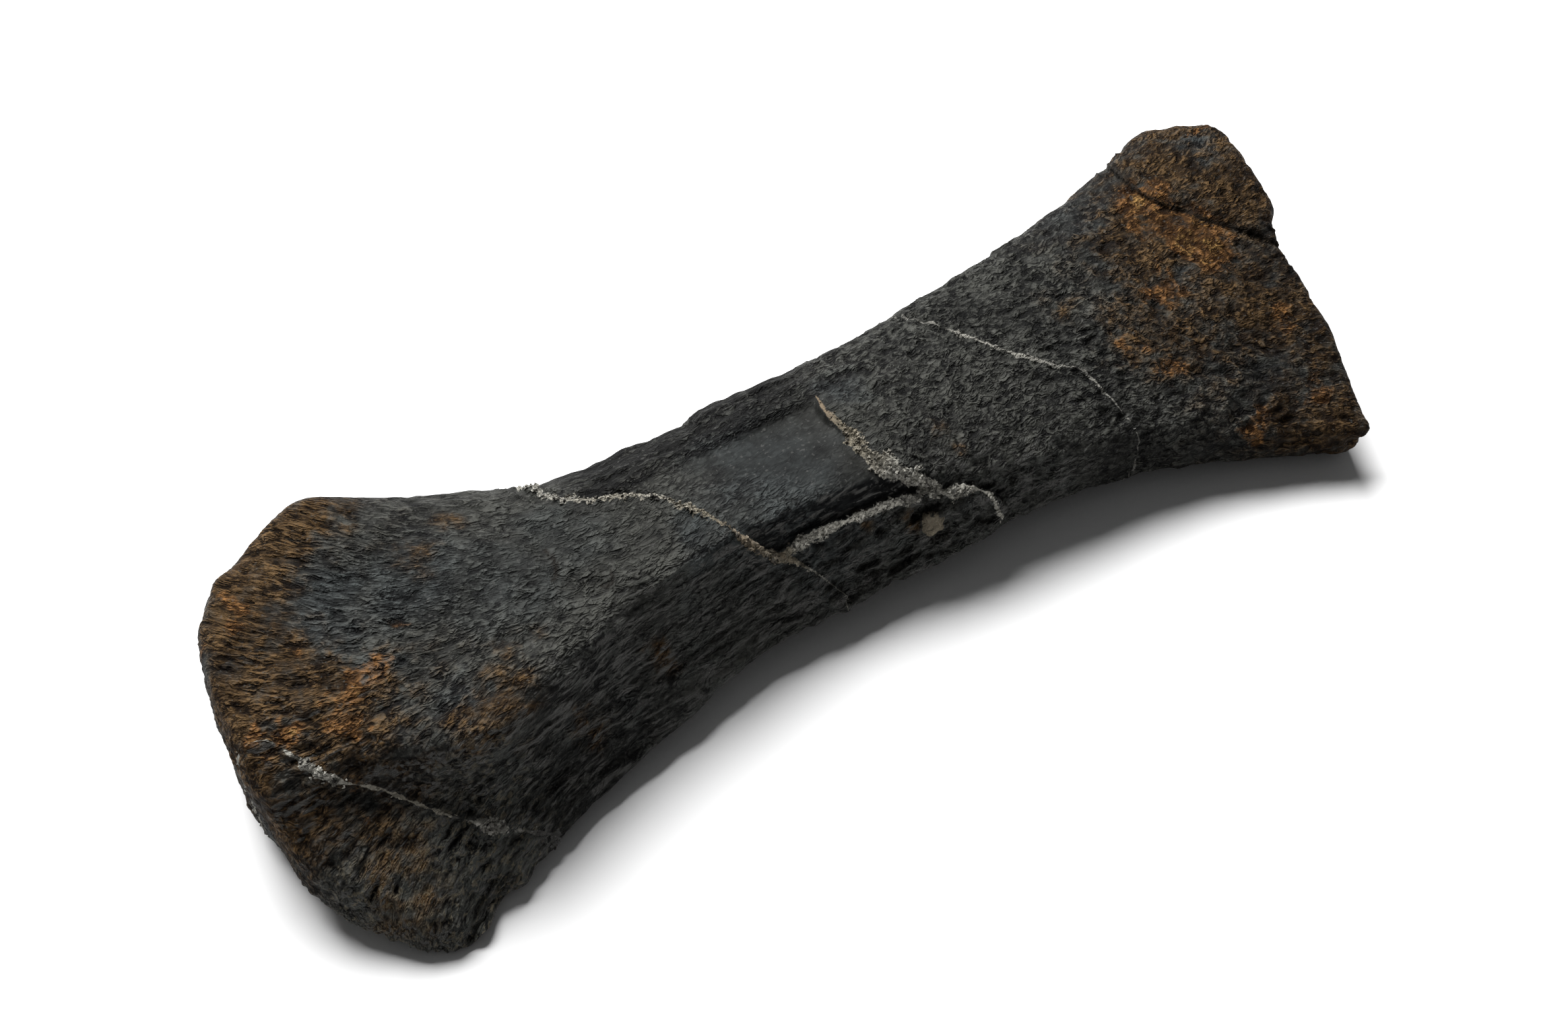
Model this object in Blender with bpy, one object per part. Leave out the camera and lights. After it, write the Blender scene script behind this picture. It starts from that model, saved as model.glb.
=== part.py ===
"""Fossil hand bone of a large plant-eating dinosaur: one stout metacarpal, flared at both ends.

The bone lies on its palm side.  +X runs along it to the thin, slanted far end, +Y points to
its back edge and +Z up.  The origin is the bottom centre of its box.  It is one solid: a loft
through thirteen named rails, with the sunk plate, the old breaks, the knob and the lumps cut
into its skin, thinned where it is plain, and cut flat where it rests.
"""
import bmesh
import bpy
import numpy as np
from mathutils import Vector, noise

MM = 0.001

# Sections across the bone: their places along X, in millimetres, before the ends are swept.
STATIONS = (-94, -84, -72, -58, -42, -24, -4, 14, 32, 48, 62, 76, 88)

# The rails run along the bone, one (y, z) in millimetres at each station.  They go round the
# section from the back edge, over the dorsal plate and its ridge, down the front flank and
# back under the palm side.
RAILS = {
    "back edge":     ((31.5, 14), (35.5, 14), (35.5, 14), (31.7, 12), (27, 11), (25, 11), (24.3, 10.5),
                      (24, 10.5), (25, 10), (27.3, 9.5), (30.5, 9.5), (33.2, 9.5), (30.9, 9.5)),
    "back shoulder": ((30.8, 24), (34.2, 25.2), (34.8, 25.2), (29.8, 21.8), (24.7, 18.7), (22.8, 17.7),
                      (22.3, 17.2), (22, 17), (23.3, 16.7), (25.6, 16.4), (29, 16.4), (31.9, 16.8), (29.3, 17)),
    "plate back":    ((23, 26), (26, 27.3), (25, 27), (20.5, 25), (16.5, 23.2), (15.5, 22), (15.5, 21),
                      (15, 20.5), (15.5, 20), (17, 19.8), (19.5, 20), (22, 20.5), (19.5, 20.3)),
    "plate middle":  ((11, 25), (11, 26), (9, 25.8), (7, 25.3), (6, 24.7), (6, 24.3), (6, 23.2),
                      (5.5, 22.2), (4, 21), (4, 20.3), (4, 19.7), (4, 19.3), (3, 19)),
    "plate front":   ((2, 23.5), (0, 24.5), (-5, 24.5), (-4, 25), (-2, 25), (-1, 24.8), (-2, 23.7),
                      (-4, 22), (-7, 19.8), (-9, 18.4), (-11.5, 17), (-14, 16), (-15, 15.5)),
    "ridge":         ((-5, 20), (-8, 22), (-14.3, 23), (-12.6, 23.5), (-7.6, 24), (-6.3, 24),
                      (-7, 22.5), (-11, 20), (-15.2, 16.5), (-18, 14.5), (-22.5, 12), (-28, 10.5), (-33, 10)),
    "under ridge":   ((-9.5, 15), (-11.5, 15.5), (-15.8, 15.5), (-14, 15.5), (-10, 17), (-8.2, 18),
                      (-9.3, 17.5), (-13, 16), (-16.5, 13), (-19.2, 11.5), (-23.8, 9.5), (-29.3, 8), (-34.2, 7.5)),
    "flank hollow":  ((-15, 12), (-16, 12.5), (-18.5, 11.5), (-16, 10.5), (-12, 12), (-10, 14),
                      (-11.5, 13.5), (-14.2, 12.5), (-16.8, 10.5), (-19.5, 9.3), (-24, 7.5), (-29.5, 6),
                      (-34.2, 5.5)),
    "lower flank":   ((-22, 8.5), (-22, 9), (-22, 7.5), (-18.3, 6.5), (-15, 8), (-12.3, 9.5),
                      (-13.2, 9.5), (-15.2, 9), (-16.5, 7.8), (-19.3, 6.5), (-23.5, 5), (-29, 4), (-33.5, 3.5)),
    "front edge":    ((-29.5, 3.5), (-27.5, 3), (-25.2, 3), (-20.5, 3), (-17.5, 4.5), (-14, 5.5),
                      (-14.7, 5.7), (-15.6, 5.8), (-15.8, 5), (-18.5, 4), (-22, 3), (-27.5, 2.3), (-32, 1.8)),
    "sole front":    ((-27.5, -0.5), (-24, -0.5), (-20, 0.5), (-15.5, 1), (-12.5, 2.5), (-9.8, 3.6),
                      (-10.5, 3.8), (-11.5, 4), (-12, 3.5), (-14.5, 2.8), (-17.5, 1.8), (-22, 0.2), (-24.5, -0.4)),
    "sole middle":   ((2, 1.5), (2, 2), (2, 3), (3, 3.5), (3, 3.5), (3, 3.6), (3, 3.8), (3, 3.8),
                      (3, 3.5), (3, 3), (2.5, 2.5), (2, 1.8), (2, 1.5)),
    "sole back":     ((24, 0.5), (25, -0.4), (23, 0.5), (21, 2), (17, 3), (16, 4), (16, 4), (16, 4),
                      (17, 3.8), (19, 3.2), (21, 2), (23, 0.2), (22, -0.4)),
}

# The ends are swept in plan.  The near end draws back from its furthest point as two
# parabolas, so many millimetres for each squared millimetre; the far end is cut obliquely.
NEAR_TIP_Y = -4.0
NEAR_BACK_CURVE, NEAR_FRONT_CURVE = 0.006, 0.0205
NEAR_SWEEP_FROM, NEAR_SWEEP_FULL = 70.0, 94.0
FAR_SLANT = 0.31
FAR_SLANT_FROM, FAR_SLANT_FULL = 25.0, 80.0

# The end faces close in rings: the share of the section left, and how far out each ring is.
NEAR_FACE = ((0.98, -97), (0.88, -99.1), (0.7, -100), (0.4, -100.4))
NEAR_FACE_MIDDLE = (-100.4, 2, 12)
FAR_FACE = ((0.98, 89.6), (0.92, 90.6), (0.74, 91.0), (0.4, 90.7))
FAR_FACE_MIDDLE = (90.5, -2, 10)

# From the loft's own axes to the bottom centre of the finished bone's box.
TO_ORIGIN = (-0.57, -0.9, 0.0)

SKIN_SPACING = 0.65
TRIANGLES = 9400

# Old breaks, healed with glue and grit: where each runs over the skin, in millimetres.  The
# "under" lines carry a break on round the back edge and the palm side, where it goes through.
NEAR_BREAK = ((-44.5, 24.5, 19), (-40.5, 15.4, 23), (-36.5, 12.7, 23.6), (-33, 11, 23.8),
              (-30, 8.3, 24.1), (-27.5, 4.8, 24.6), (-25.3, 1.2, 24.8), (-24, -2.2, 24.8),
              (-23, -5.7, 24.4), (-20.7, -7.4, 21.5), (-17.8, -8.3, 17.8), (-15.5, -9.3, 15.9),
              (-12.6, -11.2, 12.6), (-9, -14, 7.5))
NEAR_BREAK_UNDER = ((-44.5, 24.5, 19), (-45.5, 27, 11), (-42, 22, 4.2), (-33, 12, 3.4),
                    (-23, 0, 3.5), (-13, -8, 3.4), (-9, -14, 7.5))
MIDDLE_BREAK = ((3.5, 13, 21.5), (2, 8.5, 22.5), (2.1, 4.4, 23), (2.5, 1.5, 23.2), (2.1, -2.3, 23.2),
                (3.3, -5.8, 22.7), (5.1, -8.4, 21.6), (7.4, -10.4, 19.7), (10.3, -11.7, 17.8))
LEDGE = ((-16.7, -8.5, 17.5), (-11.9, -8.4, 18.3), (-5, -8.9, 18.2), (-0.5, -9.5, 18.1), (6, -10.8, 17.8))
FAR_BREAK = ((26.6, 21.6, 17.8), (28.9, 15.9, 19.9), (30.8, 9.8, 20.8), (34.5, 2.7, 20.8),
             (39, -3.3, 20), (42.4, -5.9, 19.4), (42.9, -9.5, 18.5), (43.8, -15.2, 16.1))
FAR_BREAK_UNDER = ((26.6, 21.6, 17.8), (25.5, 25.3, 10), (27, 20, 4.2), (32, 8, 3.5),
                   (38, -6, 3.3), (43, -14.5, 3.5), (44.5, -17.5, 9), (43.8, -15.2, 16.1))
LOBE_BREAK = ((-99, 3, 21.5), (-95.6, 1.8, 23.3), (-93.2, -2.6, 21.8), (-90.7, -6.7, 19.8),
              (-85.8, -9.9, 17.1), (-78.8, -16.5, 12.6), (-74.6, -19.6, 10.4), (-69.9, -21.7, 7.1),
              (-65.5, -22.8, 3.6))
LOBE_BREAK_UNDER = ((-99, 3, 21.5), (-100.4, 2, 14), (-99.6, 1, 6), (-95, -2, 1.8), (-86, -7, 1.6),
                    (-76, -14, 1.5), (-65.5, -22.8, 3.6))
CORNER_BREAK = ((83.8, 34.4, 12), (78.7, 29.5, 18), (77.1, 24.9, 19.7), (76.7, 17.9, 20.5),
                (79.5, 12.6, 20.3), (81.7, 8.3, 19.8), (84.6, 4.9, 19.3), (88.5, -0.1, 18.5), (91, -2, 14))
CORNER_BREAK_UNDER = ((83.8, 34.4, 12), (86, 31, 3), (82, 22, 1), (82.5, 10, 1.4), (86, 1, 1.6),
                      (90.5, -3, 4), (91, -2, 14))
GROOVES = ((NEAR_BREAK, 0.6, 0.8), (MIDDLE_BREAK, 0.5, 0.8), (LEDGE, 0.6, 0.9),
           (FAR_BREAK, 0.4, 0.7), (LOBE_BREAK, 0.6, 0.9), (CORNER_BREAK, 0.6, 0.9),
           (NEAR_BREAK_UNDER, 0.5, 0.8), (FAR_BREAK_UNDER, 0.4, 0.7),
           (LOBE_BREAK_UNDER, 0.5, 0.9), (CORNER_BREAK_UNDER, 0.5, 0.9))

# The smooth plate between the near and the middle break lost its outer layer and lies lower.
# It is bounded by the ledge on the flank, and a strip behind it sank half as far.
PLATE_SINK = 1.4
PLATE_FOOT = 18.0
PLATE_BACK = 12.5
STRIP_SINK = 0.6
STRIP_END = -12.0
STRIP_FOOT, STRIP_HEAD = 7.0, 13.0
PALM_SIDE_Z = 10.0
STEP_WIDTH = 0.7
BACK_STEP_WIDTH = 2.0

# The corner beyond its break was set back slightly proud of the top and of the far face.
CORNER_RISE = 1.1
CORNER_FRONT = -2.0
CORNER_OUT = 1.8
CORNER_OUT_FROM, CORNER_OUT_FULL = 2.5, 6.5

# The stony knob on the flank: its middle, half sizes along X and Z, and how far it stands out.
# Its raised rim runs round the top and the far side.
KNOB = (13.0, 11.3)
KNOB_HALF = (6.2, 3.8)
KNOB_BODY = 0.5
KNOB_RIM = 1.0
RIM_AT, RIM_WIDTH = 0.95, 0.2
RIM_FROM, RIM_FULL = 15.0, 24.0
FLANK_FROM, FLANK_FULL = 6.0, 9.0

# Pits and hollows: middle, radius and depth.
PITS = (((7.3, -12.0, 15.6), 1.8, 1.8), ((14.5, -11.2, 19.6), 4.0, 0.8), ((-85, 30, 27), 5.0, 0.4),
        ((91.0, -1.0, 15.0), 8.0, 1.1))
PIT_FLOOR = 0.3

# Lumps all over: size and height, and how much more they stand up on the ends.
LUMPS = ((13.0, 0.35), (5.0, 0.16))
ENDS_ROUGHER = 1.9
SHAFT_HALF, ENDS_FROM = 35.0, 70.0

# The slab that planes the underside flat where the bone rests.
GROUND_SIZE = (300.0, 150.0, 20.0)

COLOUR = (0.035, 0.036, 0.038, 1.0)


def ease(value, low, high):
    """A smooth step from 0 at low to 1 at high."""
    t = np.clip((value - low) / (high - low), 0.0, 1.0)
    return t * t * (3.0 - 2.0 * t)


def sweep_ends(points):
    """Draw the near end's corners back and slant the far end, in plan."""
    x, y = points[..., 0], points[..., 1]
    curve = np.where(y > NEAR_TIP_Y, NEAR_BACK_CURVE, NEAR_FRONT_CURVE)
    near = ease(-x, NEAR_SWEEP_FROM, NEAR_SWEEP_FULL) * curve * (y - NEAR_TIP_Y) ** 2
    far = ease(x, FAR_SLANT_FROM, FAR_SLANT_FULL) * FAR_SLANT * y
    swept = points.copy()
    swept[..., 0] = x + near + far
    return swept


def face_ring(section, share, reach, middle):
    """A smaller copy of an end section, further out along the bone."""
    ring = section.copy()
    ring[:, 1:] = np.array(middle[1:]) + share * (section[:, 1:] - np.array(middle[1:]))
    ring[:, 0] = reach
    return ring


def control_sections():
    """The sections the loft passes through, from the near face to the far face."""
    rails = np.array(list(RAILS.values()), float)
    sections = []
    for number, x in enumerate(STATIONS):
        section = np.empty((len(rails), 3))
        section[:, 0] = x
        section[:, 1:] = rails[:, number]
        sections.append(section)
    near = [face_ring(sections[0], share, reach, NEAR_FACE_MIDDLE) for share, reach in NEAR_FACE]
    far = [face_ring(sections[-1], share, reach, FAR_FACE_MIDDLE) for share, reach in FAR_FACE]
    return sweep_ends(np.array(near[::-1] + sections + far))


def smooth_through(rows, closed=False, spacing=SKIN_SPACING):
    """Rows on a Catmull-Rom curve through the given rows, about one spacing apart."""
    if closed:
        padded = np.concatenate([rows[-1:], rows, rows[:2]])
    else:
        padded = np.concatenate([2 * rows[:1] - rows[1:2], rows, 2 * rows[-1:] - rows[-2:-1]])
    made = []
    for a, b, c, d in zip(padded, padded[1:], padded[2:], padded[3:]):
        span = np.linalg.norm(c - b, axis=-1).mean()
        steps = max(3, round(span / spacing))
        for t in np.arange(steps) / steps:
            made.append(0.5 * (2 * b + (c - a) * t + (2 * a - 5 * b + 4 * c - d) * t ** 2
                               + (3 * b - a - 3 * c + d) * t ** 3))
    if not closed:
        made.append(padded[-2])
    return np.array(made)


def close_face(bm, ring, middle):
    """Fill an end with a fan to its middle."""
    pole = bm.verts.new(middle)
    for corner, following in zip(ring, ring[1:] + ring[:1]):
        bm.faces.new((corner, following, pole))


def loft():
    """The plain skin of the bone, as one closed mesh in millimetres."""
    sections = smooth_through(control_sections())
    rails = smooth_through(sections.transpose(1, 0, 2), closed=True)
    bm = bmesh.new()
    rings = [[bm.verts.new(point) for point in ring] for ring in rails.transpose(1, 0, 2)]
    for ring, following in zip(rings, rings[1:]):
        for k, corner in enumerate(ring):
            after = (k + 1) % len(ring)
            bm.faces.new((corner, ring[after], following[after], following[k]))
    close_face(bm, rings[0], sweep_ends(np.array(NEAR_FACE_MIDDLE, float)))
    close_face(bm, rings[-1], sweep_ends(np.array(FAR_FACE_MIDDLE, float)))
    bmesh.ops.recalc_face_normals(bm, faces=bm.faces)
    return bm


def distance_to(points, line):
    """How far each point is from a line through some points of the skin."""
    nearest = np.full(len(points), np.inf)
    ends = smooth_through(np.array(line, float), spacing=2.0)
    for start, end in zip(ends, ends[1:]):
        along = end - start
        share = np.clip((points - start) @ along / (along @ along), 0.0, 1.0)
        gap = np.linalg.norm(points - start - share[:, None] * along, axis=1)
        nearest = np.minimum(nearest, gap)
    return nearest


def beyond(points, line):
    """1 where a point lies on the +X side of a break that runs from back to front, else 0."""
    run = smooth_through(np.array(line, float), spacing=2.0)[::-1]
    edge = np.interp(points[:, 1], run[:, 1], run[:, 0])
    return ease(points[:, 0] - edge, -STEP_WIDTH, STEP_WIDTH)


def plate_depth(points):
    """The sunk plate, and the strip behind it."""
    x, y, z = points.T
    between = beyond(points, NEAR_BREAK) * (1 - beyond(points, MIDDLE_BREAK))
    above_ledge = np.maximum(ease(z, PLATE_FOOT - STEP_WIDTH, PLATE_FOOT + STEP_WIDTH), y > 0)
    behind = ease(y, PLATE_BACK - BACK_STEP_WIDTH, PLATE_BACK + BACK_STEP_WIDTH)
    plate = PLATE_SINK * (1 - behind) * (z > PALM_SIDE_Z)
    to_end = 1 - ease(x, STRIP_END - STEP_WIDTH, STRIP_END + STEP_WIDTH)
    strip = STRIP_SINK * behind * to_end * ease(z, STRIP_FOOT, STRIP_HEAD)
    return between * above_ledge * (plate + strip)


def knob_height(points):
    """A low oval knob on the front flank, with a raised rim."""
    x, y, z = points.T
    r = np.hypot((x - KNOB[0]) / KNOB_HALF[0], (z - KNOB[1]) / KNOB_HALF[1])
    body = KNOB_BODY * (1 - ease(r, RIM_AT, RIM_AT + RIM_WIDTH))
    rim = KNOB_RIM * np.exp(-((r - RIM_AT) / RIM_WIDTH) ** 2) * ease(x + z, RIM_FROM, RIM_FULL)
    return ease(-y, FLANK_FROM, FLANK_FULL) * (body + rim)


def lump_height(points):
    """Low lumps all over, higher on the spongy ends."""
    ends = 1 + (ENDS_ROUGHER - 1) * ease(np.abs(points[:, 0]), SHAFT_HALF, ENDS_FROM)
    height = np.zeros(len(points))
    for size, rise in LUMPS:
        height += rise * np.array([noise.noise(Vector(point) / size) for point in points])
    return height * ends


def carve(bm):
    """Move the skin in and out along its normals for everything that stands on it."""
    points = np.array([vertex.co for vertex in bm.verts])
    normals = np.array([vertex.normal for vertex in bm.verts])
    rise = lump_height(points) + knob_height(points) - plate_depth(points)
    lengthwise = np.abs(normals[:, 0])
    corner = CORNER_RISE * (1 - lengthwise) * ease(points[:, 1], CORNER_FRONT, 0)
    corner += CORNER_OUT * lengthwise * ease(points[:, 1], CORNER_OUT_FROM, CORNER_OUT_FULL)
    rise += corner * beyond(points, CORNER_BREAK)
    for line, depth, width in GROOVES:
        rise -= depth * np.exp(-(distance_to(points, line) / width) ** 2)
    for middle, radius, depth in PITS:
        away = np.linalg.norm(points - np.array(middle), axis=1)
        rise -= depth * (1 - ease(away, PIT_FLOOR * radius, radius))
    for vertex, place in zip(bm.verts, points + rise[:, None] * normals):
        vertex.co = place


def fossil_material():
    """Black mineralised bone with a dull, slightly waxy surface."""
    material = bpy.data.materials.new("fossil bone")
    material.use_nodes = True
    shader = material.node_tree.nodes["Principled BSDF"]
    shader.inputs["Base Color"].default_value = COLOUR
    shader.inputs["Roughness"].default_value = 0.55
    shader.inputs["Metallic"].default_value = 0.0
    return material


def make_bone(collection):
    """The whole bone as one dense mesh."""
    bm = loft()
    carve(bm)
    bmesh.ops.translate(bm, verts=bm.verts, vec=TO_ORIGIN)
    bmesh.ops.scale(bm, verts=bm.verts, vec=(MM, MM, MM))
    mesh = bpy.data.meshes.new("hand_bone")
    bm.to_mesh(mesh)
    bm.free()
    mesh.materials.append(fossil_material())
    bone = bpy.data.objects.new("hand_bone", mesh)
    collection.objects.link(bone)
    return bone


def make_ground(collection):
    """The slab that planes the bone's underside flat where it rests."""
    length, width, depth = np.array(GROUND_SIZE) * MM
    bpy.ops.mesh.primitive_cube_add(size=1, location=(0, 0, -depth / 2))
    ground = bpy.context.object
    ground.name = "ground_cutter"
    ground.scale = (length, width, depth)
    bpy.ops.object.transform_apply(location=True, scale=True)
    for holder in list(ground.users_collection):
        holder.objects.unlink(ground)
    collection.objects.link(ground)
    ground.hide_render = True
    ground.display_type = "WIRE"
    return ground


def main():
    for old in list(bpy.data.objects):
        bpy.data.objects.remove(old)
    parts = bpy.data.collections.new("fossil hand bone")
    cutters = bpy.data.collections.new("cutters")
    bpy.context.scene.collection.children.link(parts)
    bpy.context.scene.collection.children.link(cutters)

    bone = make_bone(parts)
    thin = bone.modifiers.new("thin where plain", "DECIMATE")
    thin.ratio = TRIANGLES / (2 * len(bone.data.polygons))
    thin.use_collapse_triangulate = True
    plane = bone.modifiers.new("rest flat", "BOOLEAN")
    plane.operation = "DIFFERENCE"
    plane.object = make_ground(cutters)


main()
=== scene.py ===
# %% [markdown]
# # A fossil hand bone
#
# This is one bone from the hand of a large plant-eating dinosaur, a metacarpal about as long as a
# person's hand. The minerals that replaced it are nearly black. The shaft is dense and fibrous,
# both ends are spongy and stained brown, and old breaks show as pale lines of glue and grit.
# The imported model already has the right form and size, so this script only dresses it: a fine
# skin over the plain solid, grit in the breaks, and a material that follows the bone's fibres.

import bmesh
import bpy
import numpy as np
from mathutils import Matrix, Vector, noise
from mathutils.bvhtree import BVHTree


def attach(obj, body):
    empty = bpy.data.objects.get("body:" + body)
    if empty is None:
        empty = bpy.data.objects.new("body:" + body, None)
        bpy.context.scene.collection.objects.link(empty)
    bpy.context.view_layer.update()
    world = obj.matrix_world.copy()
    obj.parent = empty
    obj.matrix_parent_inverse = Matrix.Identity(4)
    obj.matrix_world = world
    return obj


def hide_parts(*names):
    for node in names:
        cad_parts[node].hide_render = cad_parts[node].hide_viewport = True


MM = 0.001

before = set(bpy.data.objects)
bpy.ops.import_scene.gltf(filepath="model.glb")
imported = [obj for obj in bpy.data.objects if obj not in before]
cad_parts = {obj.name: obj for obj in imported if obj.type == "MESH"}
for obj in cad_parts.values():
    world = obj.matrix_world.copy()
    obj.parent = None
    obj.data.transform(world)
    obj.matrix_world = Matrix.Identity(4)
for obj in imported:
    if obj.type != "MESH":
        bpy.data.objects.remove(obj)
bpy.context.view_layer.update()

# %% [markdown]
# ## The stage
#
# The bone lies on white paper and is looked at from above its front edge, near enough for the
# wide end to look larger. One big, soft light stands behind it at half height. It rakes over the
# top, which is what makes fine relief show, and leaves the front flank dark. The paper is lit so
# well that it fades into the background, with only a soft shadow under the front edge.

# %% Camera
AIM = Vector((-4.95, 8.62, 0.0)) * MM
AZIMUTH, ELEVATION, DISTANCE = np.radians(-35), np.radians(50), 350 * MM

towards_camera = Vector((np.sin(AZIMUTH) * np.cos(ELEVATION),
                         -np.cos(AZIMUTH) * np.cos(ELEVATION), np.sin(ELEVATION)))
camera = bpy.data.objects.new("camera", bpy.data.cameras.new("camera"))
camera.data.lens = 50
camera.data.sensor_width = 36
camera.data.clip_start = 10 * MM
camera.location = AIM + DISTANCE * towards_camera
camera.rotation_euler = (-towards_camera).to_track_quat("-Z", "Y").to_euler()
bpy.context.scene.collection.objects.link(camera)
bpy.context.scene.camera = camera
print("camera at", [round(c / MM) for c in camera.location], "mm")

# %% Light
WINDOW_PLACE, WINDOW_SIZE, WINDOW_WATTS = Vector((56, 640, 766)) * MM, 850 * MM, 28.0
ROOM_LIGHT = 0.094
WHITE = (1.0, 1.0, 1.0, 1.0)

panel = bpy.data.lights.new("window", "AREA")
panel.shape = "DISK"
panel.size = WINDOW_SIZE
panel.energy = WINDOW_WATTS
window = bpy.data.objects.new("window", panel)
window.location = WINDOW_PLACE
window.rotation_euler = (-window.location).to_track_quat("-Z", "Y").to_euler()
bpy.context.scene.collection.objects.link(window)

room = bpy.data.worlds.new("pale room")
room.use_nodes = True
room.node_tree.nodes["Background"].inputs["Color"].default_value = WHITE
room.node_tree.nodes["Background"].inputs["Strength"].default_value = ROOM_LIGHT
bpy.context.scene.world = room
bpy.context.scene.view_settings.view_transform = "Standard"
print("the window light stands", round(window.location.length / MM), "mm from the bone")

# %% [markdown]
# The paper is a large white sheet. Far from the bone, where the light doesn't reach, it glows
# faintly, so that it stays white out to its edges. It lies too low there to light the bone.


# %% A helper for node trees
def add(tree, kind, inputs=None, **settings):
    """A node with its settings, and with its inputs set to values or joined to other sockets."""
    made = tree.nodes.new(kind)
    for key, value in settings.items():
        setattr(made, key, value)
    for key, value in (inputs or {}).items():
        if isinstance(value, bpy.types.NodeSocket):
            tree.links.new(value, made.inputs[key])
        else:
            made.inputs[key].default_value = value
    return made


# %% Paper
PAPER_EDGE = 3000 * MM
PAPER_WHITE, PAPER_ROUGHNESS = (0.93, 0.93, 0.93, 1.0), 0.9
GLOW_FROM, GLOW_FULL = 300 * MM, 550 * MM

corners = [(-PAPER_EDGE, -PAPER_EDGE, 0), (PAPER_EDGE, -PAPER_EDGE, 0),
           (PAPER_EDGE, PAPER_EDGE, 0), (-PAPER_EDGE, PAPER_EDGE, 0)]
paper_mesh = bpy.data.meshes.new("paper")
paper_mesh.from_pydata(corners, [], [(0, 1, 2, 3)])
paper = bpy.data.objects.new("paper", paper_mesh)
bpy.context.scene.collection.objects.link(paper)

paper_finish = bpy.data.materials.new("white paper")
paper_finish.use_nodes = True
paper_tree = paper_finish.node_tree
paper_shader = paper_tree.nodes["Principled BSDF"]
paper_shader.inputs["Base Color"].default_value = PAPER_WHITE
paper_shader.inputs["Roughness"].default_value = PAPER_ROUGHNESS
paper_shader.inputs["Emission Color"].default_value = WHITE
on_paper = add(paper_tree, "ShaderNodeTexCoord").outputs["Object"]
from_bone = add(paper_tree, "ShaderNodeVectorMath", {0: on_paper}, operation="LENGTH").outputs["Value"]
glow = add(paper_tree, "ShaderNodeMapRange",
           {"Value": from_bone, "From Min": GLOW_FROM, "From Max": GLOW_FULL}).outputs["Result"]
paper_tree.links.new(glow, paper_shader.inputs["Emission Strength"])
paper_mesh.materials.append(paper_finish)
print("the paper glows from", round(GLOW_FROM / MM), "mm outwards")

# %% [markdown]
# ## A fine skin
#
# The solid is made of flat triangles, up to a few millimetres wide where it is plain. Bone is
# never faceted, and fibres and pores need far more points. So the skin starts as a copy of the
# solid. Its loose triangles are merged, a subdivision rounds them off, and a voxel remesh lays
# an even net of small squares over it, fine enough to be pushed in and out.

# %% Copy, round off and remesh
MERGE_WITHIN = 0.001
NET_WIDTH = 0.34


def finished(obj):
    """The object's mesh with its modifiers applied, as plain data."""
    depsgraph = bpy.context.evaluated_depsgraph_get()
    mesh = bpy.data.meshes.new_from_object(obj.evaluated_get(depsgraph))
    obj.modifiers.clear()
    obj.data = mesh
    return mesh


joined = bmesh.new()
joined.from_mesh(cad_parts["hand_bone"].data)
bmesh.ops.remove_doubles(joined, verts=joined.verts, dist=MERGE_WITHIN * MM)
skin_mesh = bpy.data.meshes.new("bone_skin")
joined.to_mesh(skin_mesh)
joined.free()
skin_mesh.materials.clear()
skin = bpy.data.objects.new("bone_skin", skin_mesh)
bpy.context.scene.collection.objects.link(skin)

rounding = skin.modifiers.new("round off", "SUBSURF")
rounding.levels = rounding.render_levels = 2
net = skin.modifiers.new("even net", "REMESH")
net.mode = "VOXEL"
net.voxel_size = NET_WIDTH * MM
calm = skin.modifiers.new("calm", "SMOOTH")
calm.factor = 0.5
calm.iterations = 4
skin_mesh = finished(skin)
print("the net has", len(skin_mesh.vertices), "points")


# %% Points and normals as arrays
def rows_of(things, key, kind=float):
    """Three numbers for each point, normal or triangle of a mesh."""
    flat = np.empty(3 * len(things), kind)
    things.foreach_get(key, flat)
    return flat.reshape(-1, 3)


def surface(mesh):
    """Where the points of a mesh are, in millimetres, and which way it faces there."""
    return rows_of(mesh.vertices, "co") / MM, rows_of(mesh.vertex_normals, "vector")


# %% Soft edges and noise
def ease(value, low, high):
    """A smooth step from 0 at low to 1 at high."""
    t = np.clip((value - low) / (high - low), 0.0, 1.0)
    return t * t * (3.0 - 2.0 * t)


def stretch(value, rise, fall):
    """A smooth step up over the rise and down again over the fall."""
    return ease(value, *rise) * (1 - ease(value, *fall))


def bumps(points, size, seed=0.0):
    """Smooth noise from -1 to 1 whose lumps are about one size apart."""
    shift = Vector((seed, 2.3 * seed, -1.7 * seed))
    size = np.broadcast_to(np.asarray(size, float), (3,))
    return np.array([noise.noise(Vector(point) + shift) for point in points / size])


# %% [markdown]
# ## Where the fibres run
#
# Bone grows as bundles of fibres along the shaft that fan out into each end, and everything fine
# on this fossil follows them. Each point is told how far along the fibres it lies, which fibre it
# is on, and how much finer the fibres must be split there. A fibre keeps its number while the
# bone widens, so noise that is stretched along the first number turns into streaks that fan out.
# Where the bone has doubled its width there are twice as many fibres, so the noise is taken
# at two levels of fineness and mixed, and the streaks stay equally thin everywhere.

# %% Grain coordinates
NEAR_FAN_Y, FAR_FAN_Y = -6.0, 2.0
NEAR_FAN_FROM, NEAR_FAN = -35.0, 0.00040
FAR_FAN_FROM, FAR_FAN = 30.0, 0.00014
KNOBBLY_FROM, SHORTER_STROKES = 5.0, 0.25


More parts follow.
